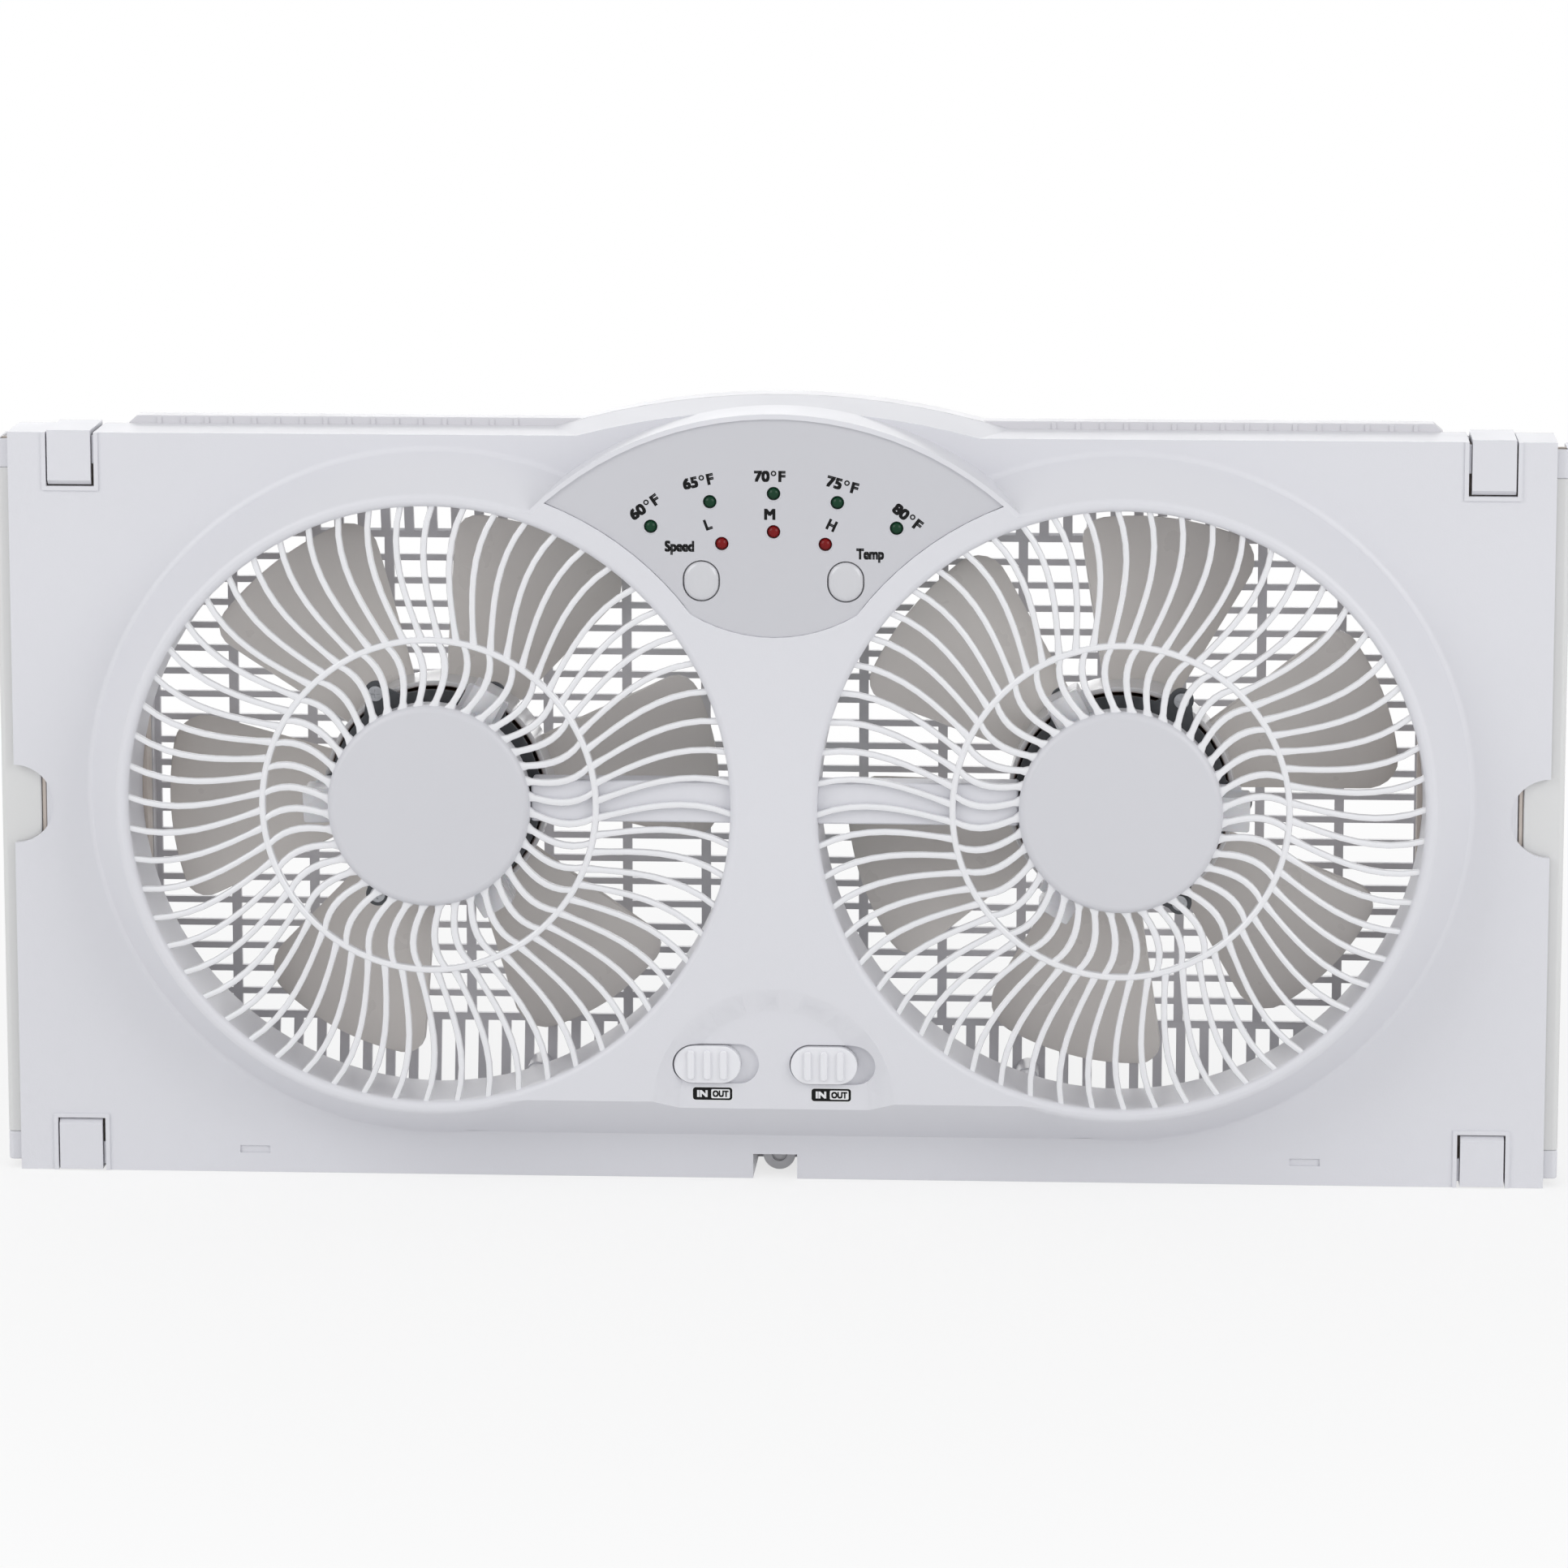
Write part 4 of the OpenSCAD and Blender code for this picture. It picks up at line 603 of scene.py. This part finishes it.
guard_plastic = moulded(
    "guard_plastic", (238, 238, 241), (235, 235, 238), 0.2, 0.24, relief=0.006,
    Coat_Weight=0.2, Coat_Roughness=0.12,
)
disc_plastic = moulded("disc_plastic", (214, 214, 219), (211, 211, 216), 0.34, 0.4, relief=0.015)
for side, x in (("left", -FAN_X), ("right", FAN_X)):
    bm = bmesh.new()
    spokes(bm, 60, MID_R - 1, OPENING_R, 2.4, 2.1, 4.9, 3.1, 0.35)
    spokes(bm, 40, DISC_R - 1.2, MID_R - MID_W + 1, 2.7, -2.5, -3.6, -4.1, 0.9)
    if side == "right":
        bmesh.ops.scale(bm, vec=(-1, 1, 1), verts=bm.verts)
    bmesh.ops.translate(bm, vec=(x * MM, 0, FAN_Z * MM), verts=bm.verts)
    turned(bm, x, FAN_Z, [
        (MID_R - MID_W, 2.8), (MID_R - MID_W + 0.2, 2.1), (MID_R - MID_W + 0.7, 1.7), (MID_R - 0.7, 1.7),
        (MID_R - 0.2, 2.1), (MID_R, 2.8), (MID_R, 4.6), (MID_R - 0.6, 5.2),
        (MID_R - MID_W + 0.6, 5.2), (MID_R - MID_W, 4.6),
    ], steps=128, closed=True)
    bmesh.ops.recalc_face_normals(bm, faces=bm.faces)
    piece(bm, "round_guard_" + side, guard_plastic, "housing", "grille_white", "front_grille_" + side)
    bm = bmesh.new()
    edge = [math.radians(a) for a in range(0, 91, 15)]
    turned(bm, x, FAN_Z, [
        (0, 0.1), (20, 0.05), (DISC_R - DISC_EDGE, 0),
        *((DISC_R - DISC_EDGE + DISC_EDGE * math.sin(a), DISC_EDGE - DISC_EDGE * math.cos(a))
          for a in edge[1:]),
        (DISC_R, 6), (DISC_R - 0.4, SKIRT_DEPTH), (DISC_R - 2, SKIRT_DEPTH), (DISC_R - 1.8, 2.5),
        (0, 2.5),
    ], steps=128)
    bmesh.ops.remove_doubles(bm, verts=bm.verts, dist=1e-7)
    bmesh.ops.recalc_face_normals(bm, faces=bm.faces)
    piece(bm, "hub_disc_" + side, disc_plastic, "housing", "grille_white")

# ---------------------------------------------------------------- wiring and boards
# Two white troughs take the black motor leads behind the spokes to the waist. The power board, the
# switches and the control board with its sensor are glass-fibre boards and black mouldings.
for side in ("left", "right"):
    bm = moulding_of("wire_channel_" + side)
    ease(bm, 1.6, corner=60, segments=4)
    piece(bm, "wire_trough_" + side, shell_plastic, "housing", "shell_white", "wire_channel_" + side)
board_green = moulded("board_green", (38, 104, 62), (30, 92, 54), 0.25, 0.35, clouds=90, relief=0.02)
black_plastic = moulded("black_plastic", (36, 36, 38), (30, 30, 32), 0.35, 0.5)
lead_rubber = moulded("lead_rubber", (34, 34, 36), (42, 42, 44), 0.45, 0.6, clouds=120)
dress(board_green, "control_board", "power_board")
dress(black_plastic, "button_contacts", "airflow_switches", "room_sensor")
dress(lead_rubber, "motor_leads")

# ---------------------------------------------------------------- control panel
# A lens-shaped panel in smooth satin white, snapped into the pod. Five green and three red lamps stand
# in bevelled holes over their marks, and two domed push buttons come through it.
PANEL_FACE = 1
POD_Z, PANEL_TOP_R = 166, 131
SEAT_GAP, SEAT_FILL = 0.25, 0.22
LAMP_R, LAMP_RIM, LAMP_DOME, LAMP_BACK = 2.4, 2.6, 2.1, 11.9
BUTTON_X, BUTTON_Z = 27.1, 236
BUTTON_W, BUTTON_H, BUTTON_WALL, SHANK_DEPTH = 12.9, 14.7, 4.2, 4


def along_arc(radius, z, angles):
    """Places on an arc over a middle at height z, by their angles from upright."""
    return [
        (radius * math.sin(math.radians(a)), z + radius * math.cos(math.radians(a))) for a in angles
    ]


def cut_front(bm, depth):
    """Cut away what stands in front of a depth, and close the cut."""
    bmesh.ops.bisect_plane(
        bm, geom=whole(bm), plane_co=at(0, depth, 0), plane_no=(0, 1, 0), clear_inner=True
    )
    bmesh.ops.holes_fill(bm, edges=[e for e in bm.edges if e.is_boundary])


TEMP_LAMPS = along_arc(90, 179.2, (-30.8, -15.4, 0, 15.4, 30.8))
SPEED_LAMPS = along_arc(43.2, 211.6, (-26.7, 0, 26.7))
panel_plastic = moulded("panel_plastic", (206, 206, 211), (203, 203, 208), 0.3, 0.36, relief=0.01)
button_plastic = moulded(
    "button_plastic", (211, 211, 215), (208, 208, 212), 0.15, 0.19, relief=0.004,
    Coat_Weight=0.5, Coat_Roughness=0.08,
)
green_lens = moulded(
    "green_lens", (10, 62, 38), (8, 52, 31), 0.12, 0.16, relief=0.002, clouds=200,
    Specular_IOR_Level=0.22,
)
red_lens = moulded(
    "red_lens", (128, 10, 12), (112, 8, 10), 0.12, 0.16, relief=0.002, clouds=200,
    Specular_IOR_Level=0.22,
)
bm = moulding_of("control_panel")
ease(bm, 0.2)
# it is pressed home, so it fills its seat
for vert in bm.verts:
    side = math.copysign(FAN_X, vert.co.x)
    for x, z, radius, way in (
        (side, FAN_Z, PANEL_SIDE_R + SEAT_GAP, -1),
        (0, PANEL_LOW_MIDDLE, PANEL_LOW_R - SEAT_GAP, 1),
        (0, POD_Z, PANEL_TOP_R, 1),
    ):
        out = Vector((vert.co.x - x * MM, 0, vert.co.z - z * MM))
        if abs(out.length / MM - radius) < 0.45 and (x or radius > 100 or vert.co.z < 0.24):
            vert.co += out.normalized() * way * SEAT_FILL * MM
for lamp_x, lamp_z in TEMP_LAMPS + SPEED_LAMPS:
    turned(bm, lamp_x, lamp_z, [
        (LAMP_R + 0.12, 1.4), (LAMP_R + 0.16, 0.95), (LAMP_R + 0.35, 0.82), (LAMP_R + 0.55, 0.88),
        (LAMP_R + 0.72, 1.05), (LAMP_R + 0.72, 1.4),
    ], steps=32, closed=True)
bmesh.ops.recalc_face_normals(bm, faces=bm.faces)
piece(bm, "control_panel_moulding", panel_plastic, "housing", "panel_white", "control_panel")

for name, node, spots, lens, slot in (
    ("temperature_lenses", "temperature_lamps", TEMP_LAMPS, green_lens, "lamp_green"),
    ("speed_lenses", "speed_lamps", SPEED_LAMPS, red_lens, "lamp_red"),
):
    bm = bmesh.new()
    for lamp_x, lamp_z in spots:
        dome = [
            (LAMP_R * math.sin(math.radians(a)), LAMP_RIM - LAMP_DOME * math.cos(math.radians(a)))
            for a in range(0, 91, 10)
        ]
        turned(bm, lamp_x, lamp_z, dome + [(LAMP_R, LAMP_BACK), (0, LAMP_BACK)], steps=32)
    bmesh.ops.remove_doubles(bm, verts=bm.verts, dist=1e-7)
    bmesh.ops.recalc_face_normals(bm, faces=bm.faces)
    piece(bm, name, lens, "housing", slot, node)

for name, side in (("speed_button", -1), ("temp_button", 1)):
    bm = bmesh.new()
    rounded_face(bm, BUTTON_W, BUTTON_H, BUTTON_W / 2 - 0.02, segments=12)
    crown = bm.faces[:]
    half = [BUTTON_W / 2, BUTTON_H / 2]
    # a straight wall, then a dome in ever flatter steps
    for inward, rise in (
        (0, BUTTON_WALL), (0.2, 0.35), (0.4, 0.34), (0.6, 0.28), (0.9, 0.2), (1.2, 0.12), (1.4, 0.06),
    ):
        grown = bmesh.ops.extrude_face_region(bm, geom=crown)["geom"]
        crown = [g for g in grown if isinstance(g, bmesh.types.BMFace)]
        ring = verts_of(grown)
        bmesh.ops.scale(bm, vec=(1 - inward / half[0], 1 - inward / half[1], 1), verts=ring)
        bmesh.ops.translate(bm, vec=(0, 0, rise * MM), verts=ring)
        half = [h - inward for h in half]
    bmesh.ops.recalc_face_normals(bm, faces=bm.faces)
    stand(bm, side * BUTTON_X, PANEL_FACE + 0.5 + BUTTON_WALL, BUTTON_Z)
    shank = moulding_of(name)
    cut_front(shank, SHANK_DEPTH)
    bmesh.ops.recalc_face_normals(shank, faces=shank.faces)
    add(bm, shank)
    piece(bm, name + "_cap", button_plastic, name, "gloss_white", name)

# ---------------------------------------------------------------- printed marks
# Pad-printed black settings: temperatures over their lamps, L, M and H between them, a word beside each
# button, and a black and white IN and OUT badge under each airflow switch.
MARK_T, INK_STEP = 0.03, 0.04
DEGREE_R, DEGREE_AT = 1.05, 0.62
LAMP_MARKS = [
    ("60  F", -48.4, 263.8, 35, 12.6, 4.3), ("65  F", -28.2, 273.6, 12, 11.8, 4.3),
    ("70  F", -1.4, 275.7, 0, 11.8, 4.3), ("75  F", 25.8, 272.7, -15, 12.2, 4.3),
    ("80  F", 50.2, 260.8, -38, 12.6, 4.3), ("L", -24.6, 257.4, 20, 2.6, 4.2),
    ("M", -1.4, 261.4, 0, 4.2, 4.2), ("H", 21.8, 257.4, -25, 3.4, 4.2),
    ("Speed", -35.3, 248.5, 0, 11.1, 5.4), ("Temp", 36.2, 246.1, 0, 10.4, 5.4),
]
BADGES, BADGE_Z = (-23.5, 21.7), 38.3
IN_SHIFT, OUT_SHIFT = 3.9, 3.05
PLATEAU = 5


def lettering(bm, words, x, depth, z, turn, wide, high, weight=0.05):
    """Letters cut as flat solids, made bold, and fitted to a width and height in millimetres."""
    curve = bpy.data.curves.new("letters", "FONT")
    curve.body = words
    curve.resolution_u = 4
    holder = bpy.data.objects.new("letters", curve)
    scene.collection.objects.link(holder)
    view = bpy.context.evaluated_depsgraph_get()
    mesh = bpy.data.meshes.new_from_object(holder.evaluated_get(view))
    bpy.data.objects.remove(holder)
    bpy.data.curves.remove(curve)
    letters = bmesh.new()
    letters.from_mesh(mesh)
    bpy.data.meshes.remove(mesh)
    bmesh.ops.remove_doubles(letters, verts=letters.verts, dist=1e-5)
    # four copies, each shifted to a corner and a hair above the last, thicken every stroke
    thin = whole(letters)
    for step, way in enumerate(((1, -1), (1, 1), (-1, 1))):
        copy = bmesh.ops.duplicate(letters, geom=thin)["geom"]
        bmesh.ops.translate(
            letters, vec=(way[0] * weight, way[1] * weight, (step + 1) * 1e-6), verts=verts_of(copy)
        )
    bmesh.ops.translate(letters, vec=(-weight, -weight, 0), verts=verts_of(thin))
    low = [min(v.co[i] for v in letters.verts) for i in (0, 1)]
    size = [max(v.co[i] for v in letters.verts) - low[i] for i in (0, 1)]
    bmesh.ops.translate(letters, vec=(-low[0] - size[0] / 2, -low[1] - size[1] / 2, 0), verts=letters.verts)
    bmesh.ops.scale(letters, vec=(wide * MM / size[0], high * MM / size[1], 1), verts=letters.verts)
    if "  " in words:
        # the degree ring, level with the tops of the numbers
        ring = bmesh.ops.create_circle(letters, cap_ends=True, segments=20, radius=DEGREE_R * MM)["verts"]
        bmesh.ops.translate(
            letters, vec=((DEGREE_AT * wide - wide / 2) * MM, (high / 2 - DEGREE_R) * MM, 4e-6), verts=ring
        )
        disc = [f for f in letters.faces if all(v in ring for v in f.verts)]
        bmesh.ops.inset_region(letters, faces=disc, thickness=DEGREE_R * 0.5 * MM, use_boundary=True)
        bmesh.ops.delete(letters, geom=disc, context="FACES")
    plate_faces(letters)
    stand(letters, x, depth, z, turn)
    add(bm, letters)


def plate_faces(flat):
    """Give a flat drawing the thickness of the print."""
    bmesh.ops.recalc_face_normals(flat, faces=flat.faces)
    grown = bmesh.ops.extrude_face_region(flat, geom=flat.faces[:])["geom"]
    bmesh.ops.translate(flat, vec=(0, 0, MARK_T * MM), verts=verts_of(grown))
    bmesh.ops.recalc_face_normals(flat, faces=flat.faces)


def label(bm, wide, high, radius, x, depth, z):
    """A plain printed plate with round corners."""
    flat = bmesh.new()
    rounded_face(flat, wide, high, radius, segments=5)
    plate_faces(flat)
    stand(flat, x, depth, z)
    add(bm, flat)


black_ink = moulded(
    "black_ink", (14, 14, 15), (20, 20, 21), 0.4, 0.5, relief=0.003, clouds=300, Specular_IOR_Level=0.15
)
white_ink = moulded("white_ink", (236, 236, 238), (230, 230, 233), 0.3, 0.4, relief=0.003, clouds=300)
black, white = bmesh.new(), bmesh.new()
for words, x, z, turn, wide, high in LAMP_MARKS:
    lettering(black, words, x, PANEL_FACE, z, turn, wide, high)
for x in BADGES:
    label(white, 15.6, 5.5, 1.4, x, PLATEAU, BADGE_Z)
    label(black, 15, 4.9, 1.1, x, PLATEAU - INK_STEP, BADGE_Z)
    label(white, 7.1, 3.5, 0.5, x + OUT_SHIFT, PLATEAU - 2 * INK_STEP, BADGE_Z)
    lettering(white, "IN", x - IN_SHIFT, PLATEAU - 2 * INK_STEP, BADGE_Z, 0, 4, 2.7)
    lettering(black, "OUT", x + OUT_SHIFT, PLATEAU - 3 * INK_STEP, BADGE_Z, 0, 6.1, 2.6)
piece(black, "printed_marks_black", black_ink, "housing", "black_plastic")
piece(white, "printed_marks_white", white_ink, "housing", "gloss_white")

# ---------------------------------------------------------------- airflow knobs
# Two long slide knobs in glossy white with three finger ribs each. They ride in slots in the plateau
# and push the switches behind it from IN to OUT.
KNOB_X, KNOB_AT_IN, KNOB_Z = 22.2, -3.2, 50
KNOB_CORE, KNOB_R, KNOB_FACE = 5.5, 7.2, 2.8
RIB_SHIFT = 6.2
knob_plastic = moulded(
    "knob_plastic", (238, 238, 242), (235, 235, 239), 0.18, 0.22, relief=0.004,
    Coat_Weight=0.3, Coat_Roughness=0.1,
)
for side, s in (("left", -1), ("right", 1)):
    name, x = "airflow_knob_" + side, s * KNOB_X + KNOB_AT_IN
    bm = moulding_of(name)
    cut_front(bm, KNOB_FACE + 1.9)
    cap = rounded_block(2 * (KNOB_CORE + KNOB_R), 2 * KNOB_R, 2, KNOB_R - 0.02, 1.3)
    stand(cap, x, KNOB_FACE + 2, KNOB_Z)
    add(bm, cap)
    bmesh.ops.recalc_face_normals(bm, faces=bm.faces)
    for shift in (-RIB_SHIFT, 0, RIB_SHIFT):
        rib = rounded_block(2.8, 11.6, 1.5, 1.35, 0.7)
        stand(rib, x + shift, KNOB_FACE + 0.2, KNOB_Z)
        add(bm, rib)
    piece(bm, name + "_moulding", knob_plastic, side + "_airflow_knob", "gloss_white", name)

# ---------------------------------------------------------------- side extenders
# On each side a pale grey end bar with white caps, and four thin slats that hook into each other and slide
# out of the housing's end, to fill the rest of the window opening. The slats' warm grey-beige colour is
# painted shade: the warm tint that white plastic takes in the shadow inside the housing.
bar_plastic = moulded("bar_plastic", (224, 224, 224), (220, 220, 219), 0.34, 0.42, relief=0.02)
# the slats' darker warm grey-beige is painted shade on white plastic, not the slats' own colour
slat_plastic = moulded("slat_plastic", (206, 196, 188), (198, 187, 178), 0.36, 0.48, relief=0.02)
BAR_X, BAR_FACE = 298.5, 31.2
LIP_NEAR, LIP_FAR = 281.3, 282.8


def bar_corner(edge):
    """True for the long outer front edge of a bar or its caps."""
    low, high = edge.verts
    return all(abs(abs(v.co.x / MM) - BAR_X) < 0.1 and abs(v.co.y / MM + HALF_DEPTH - BAR_FACE) < 0.1
               for v in (low, high))


for side, s in (("left", -1), ("right", 1)):
    for node, material, slot, body in (
        ("extender_bar_", bar_plastic, "bar_plastic", "_bar"),
        ("extender_caps_", shell_plastic, "shell_white", "_bar"),
        ("slat_1_", slat_plastic, "slat_plastic", "_bar"),
        ("slat_2_", slat_plastic, "slat_plastic", "_slat_2"),
        ("slat_3_", slat_plastic, "slat_plastic", "_slat_3"),
        ("slat_4_", slat_plastic, "slat_plastic", "_slat_4"),
    ):
        bm = moulding_of(node + side)
        ease(bm, 2.2, segments=5, only=bar_corner)
        ease(bm, 0.6 if body == "_bar" and node[0] == "e" else 0.25)
        if node == "slat_1_":
            # its folded lip, which shows beside the bar in the finger notch
            low_x, high_x = sorted((s * LIP_NEAR, s * LIP_FAR))
            add(bm, block((low_x, 32, 4), (high_x, 33.4, 283)))
        piece(bm, node + side + "_moulding", material, side + body, slot, node + side)

# ---------------------------------------------------------------- corner locks
# Four white flaps that fold over the housing's edge on steel pins near its back. Closed, as here, they
# lie in their raised borders; open, they stand 30 mm beyond the edge.
LOCK_H, LOCK_FACE = 20, 27.1
for node, body in (
    ("lock_top_left", "top_left_lock"), ("lock_top_right", "top_right_lock"),
    ("lock_bottom_left", "bottom_left_lock"), ("lock_bottom_right", "bottom_right_lock"),
):
    bm = moulding_of(node)
    s = -1 if "left" in node else 1
    free_z = SHELL_H - LOCK_H if "top" in node else LOCK_H
    for vert in bm.verts:
        if abs(vert.co.x / MM - s * (LOCK_X - LOCK_HALF)) < 0.2:
            vert.co.x += s * LOCK_TRIM * MM
    ease(bm, 1.7, segments=1, only=lambda e: all(
        abs(v.co.z / MM - free_z) < 0.1 and abs(v.co.y / MM + HALF_DEPTH - LOCK_FACE) < 0.1 for v in e.verts
    ))
    ease(bm, 0.4, segments=3)
    piece(bm, node + "_flap", shell_plastic, body, "shell_white", node)
dress(bright_steel, "lock_pins", "case_screws")

# ---------------------------------------------------------------- cord gland
# A pale grey ring moulding, clamped between the two halves at the bottom notch, where the cord would
# come out. The photograph shows no cord, so a thin web closes the ring's bore.
GLAND_Z = 7
gland_plastic = moulded("gland_plastic", (222, 221, 223), (216, 215, 217), 0.34, 0.42)
bm = moulding_of("cord_gland")
ease(bm, 0.5, segments=3)
turned(bm, 0, GLAND_Z, [(0, 41.3), (2.3, 41.1), (3.1, 41.6), (3.1, 43.2), (0, 43.2)], steps=48)
bmesh.ops.remove_doubles(bm, verts=bm.verts, dist=1e-7)
bmesh.ops.recalc_face_normals(bm, faces=bm.faces)
piece(bm, "cord_gland_ring", gland_plastic, "housing", "rear_white", "cord_gland")

# ---------------------------------------------------------------- floor and backdrop
# A wide pale floor that keeps the fan's shadow and turns to plain white away from it. The white shows to
# camera, glossy and transmission rays alone, so it adds no light of its own to the fan.
FLOOR_R = 9.0
FADE_FROM, FADE_TO, LEAST_WHITE = 0.3, 1.1, 0.72


def direct_rays(nodes, links):
    """One for a camera, glossy or transmission ray, and zero for any other."""
    path = nodes.new("ShaderNodeLightPath").outputs
    either = nodes.new("ShaderNodeMath")
    either.operation = "MAXIMUM"
    direct = nodes.new("ShaderNodeMath")
    direct.operation = "MAXIMUM"
    links.new(path["Is Camera Ray"], either.inputs[0])
    links.new(path["Is Glossy Ray"], either.inputs[1])
    links.new(either.outputs["Value"], direct.inputs[0])
    links.new(path["Is Transmission Ray"], direct.inputs[1])
    return direct.outputs["Value"]


bm = bmesh.new()
bmesh.ops.create_circle(bm, cap_ends=True, segments=96, radius=FLOOR_R)
bmesh.ops.translate(bm, vec=(0, 0, cad_box[0].z - 0.0002), verts=bm.verts)
mesh = bpy.data.meshes.new("studio_floor")
bm.to_mesh(mesh)
bm.free()
floor = bpy.data.objects.new("studio_floor", mesh)
scene.collection.objects.link(floor)
paper, nodes, links, bsdf = new_material("studio_paper")
bsdf.inputs["Base Color"].default_value = (0.9, 0.9, 0.9, 1)
bsdf.inputs["Roughness"].default_value = 0.9
where = nodes.new("ShaderNodeTexCoord")
far = nodes.new("ShaderNodeVectorMath")
far.operation = "LENGTH"
fade = nodes.new("ShaderNodeMapRange")
fade.interpolation_type = "SMOOTHSTEP"
fade.inputs["From Min"].default_value = FADE_FROM
fade.inputs["From Max"].default_value = FADE_TO
fade.inputs["To Min"].default_value = LEAST_WHITE
seen = nodes.new("ShaderNodeMath")
seen.operation = "MULTIPLY"
white_paper = nodes.new("ShaderNodeEmission")
mixed = nodes.new("ShaderNodeMixShader")
links.new(where.outputs["Object"], far.inputs[0])
links.new(far.outputs["Value"], fade.inputs["Value"])
links.new(fade.outputs["Result"], seen.inputs[0])
links.new(direct_rays(nodes, links), seen.inputs[1])
links.new(seen.outputs["Value"], mixed.inputs["Fac"])
links.new(bsdf.outputs["BSDF"], mixed.inputs[1])
links.new(white_paper.outputs["Emission"], mixed.inputs[2])
links.new(mixed.outputs["Shader"], nodes["Material Output"].inputs["Surface"])
mesh.materials.append(paper)

# ---------------------------------------------------------------- light
# Soft studio light: an even white room, a large lamp in front and above on the left, a smaller one on
# the right, one overhead, and a large one behind that lights the inside through the rear grille.
WORLD_LEVEL = 0.55
LAMPS_AIM = Vector((0, 0, 0.14))
LAMPS = [
    ("key_light", (-1.3, -1.1, 1.1), 1.2, 10.0),
    ("fill_light", (1.3, -1.1, 0.9), 1.1, 9.0),
    ("top_light", (0.1, 0.2, 2.1), 1.4, 2.0),
    ("back_light", (-0.3, 2.0, 0.3), 1.6, 12.0),
]
world = bpy.data.worlds.new("studio")
scene.world = world
world.use_nodes = True
nodes, links = world.node_tree.nodes, world.node_tree.links
room = nodes["Background"]
room.inputs["Color"].default_value = (0.98, 0.99, 1.0, 1)
room.inputs["Strength"].default_value = WORLD_LEVEL
backdrop = nodes.new("ShaderNodeBackground")
backdrop.inputs["Color"].default_value = (1, 1, 1, 1)
mixed = nodes.new("ShaderNodeMixShader")
links.new(direct_rays(nodes, links), mixed.inputs["Fac"])
links.new(room.outputs["Background"], mixed.inputs[1])
links.new(backdrop.outputs["Background"], mixed.inputs[2])
links.new(mixed.outputs["Shader"], nodes["World Output"].inputs["Surface"])
for name, place, size, power in LAMPS:
    lamp = bpy.data.lights.new(name, "AREA")
    lamp.size = size
    lamp.energy = power
    holder = bpy.data.objects.new(name, lamp)
    holder.location = place
    holder.rotation_euler = (LAMPS_AIM - Vector(place)).to_track_quat("-Z", "Y").to_euler()
    scene.collection.objects.link(holder)

# ---------------------------------------------------------------- camera
# A long lens, from a little above and a little to the right of the middle. It is tilted, not shifted, so
# that other views of the scene stay whole.
AZIMUTH, ELEVATION = math.radians(3.2), math.radians(10.2)
DISTANCE = 2.6
SENSOR = 36
LENS = 4.336 * SENSOR
AIM = Vector((1.76, 0, 151.97)) * MM
towards = Vector((
    math.sin(AZIMUTH) * math.cos(ELEVATION), -math.cos(AZIMUTH) * math.cos(ELEVATION), math.sin(ELEVATION)
))
camera = bpy.data.objects.new("camera", bpy.data.cameras.new("camera"))
camera.data.sensor_width = SENSOR
camera.data.lens = LENS
camera.data.clip_start, camera.data.clip_end = 0.05, 60
camera.location = AIM + towards * DISTANCE
camera.rotation_euler = (-towards).to_track_quat("-Z", "Y").to_euler()
scene.collection.objects.link(camera)
scene.camera = camera
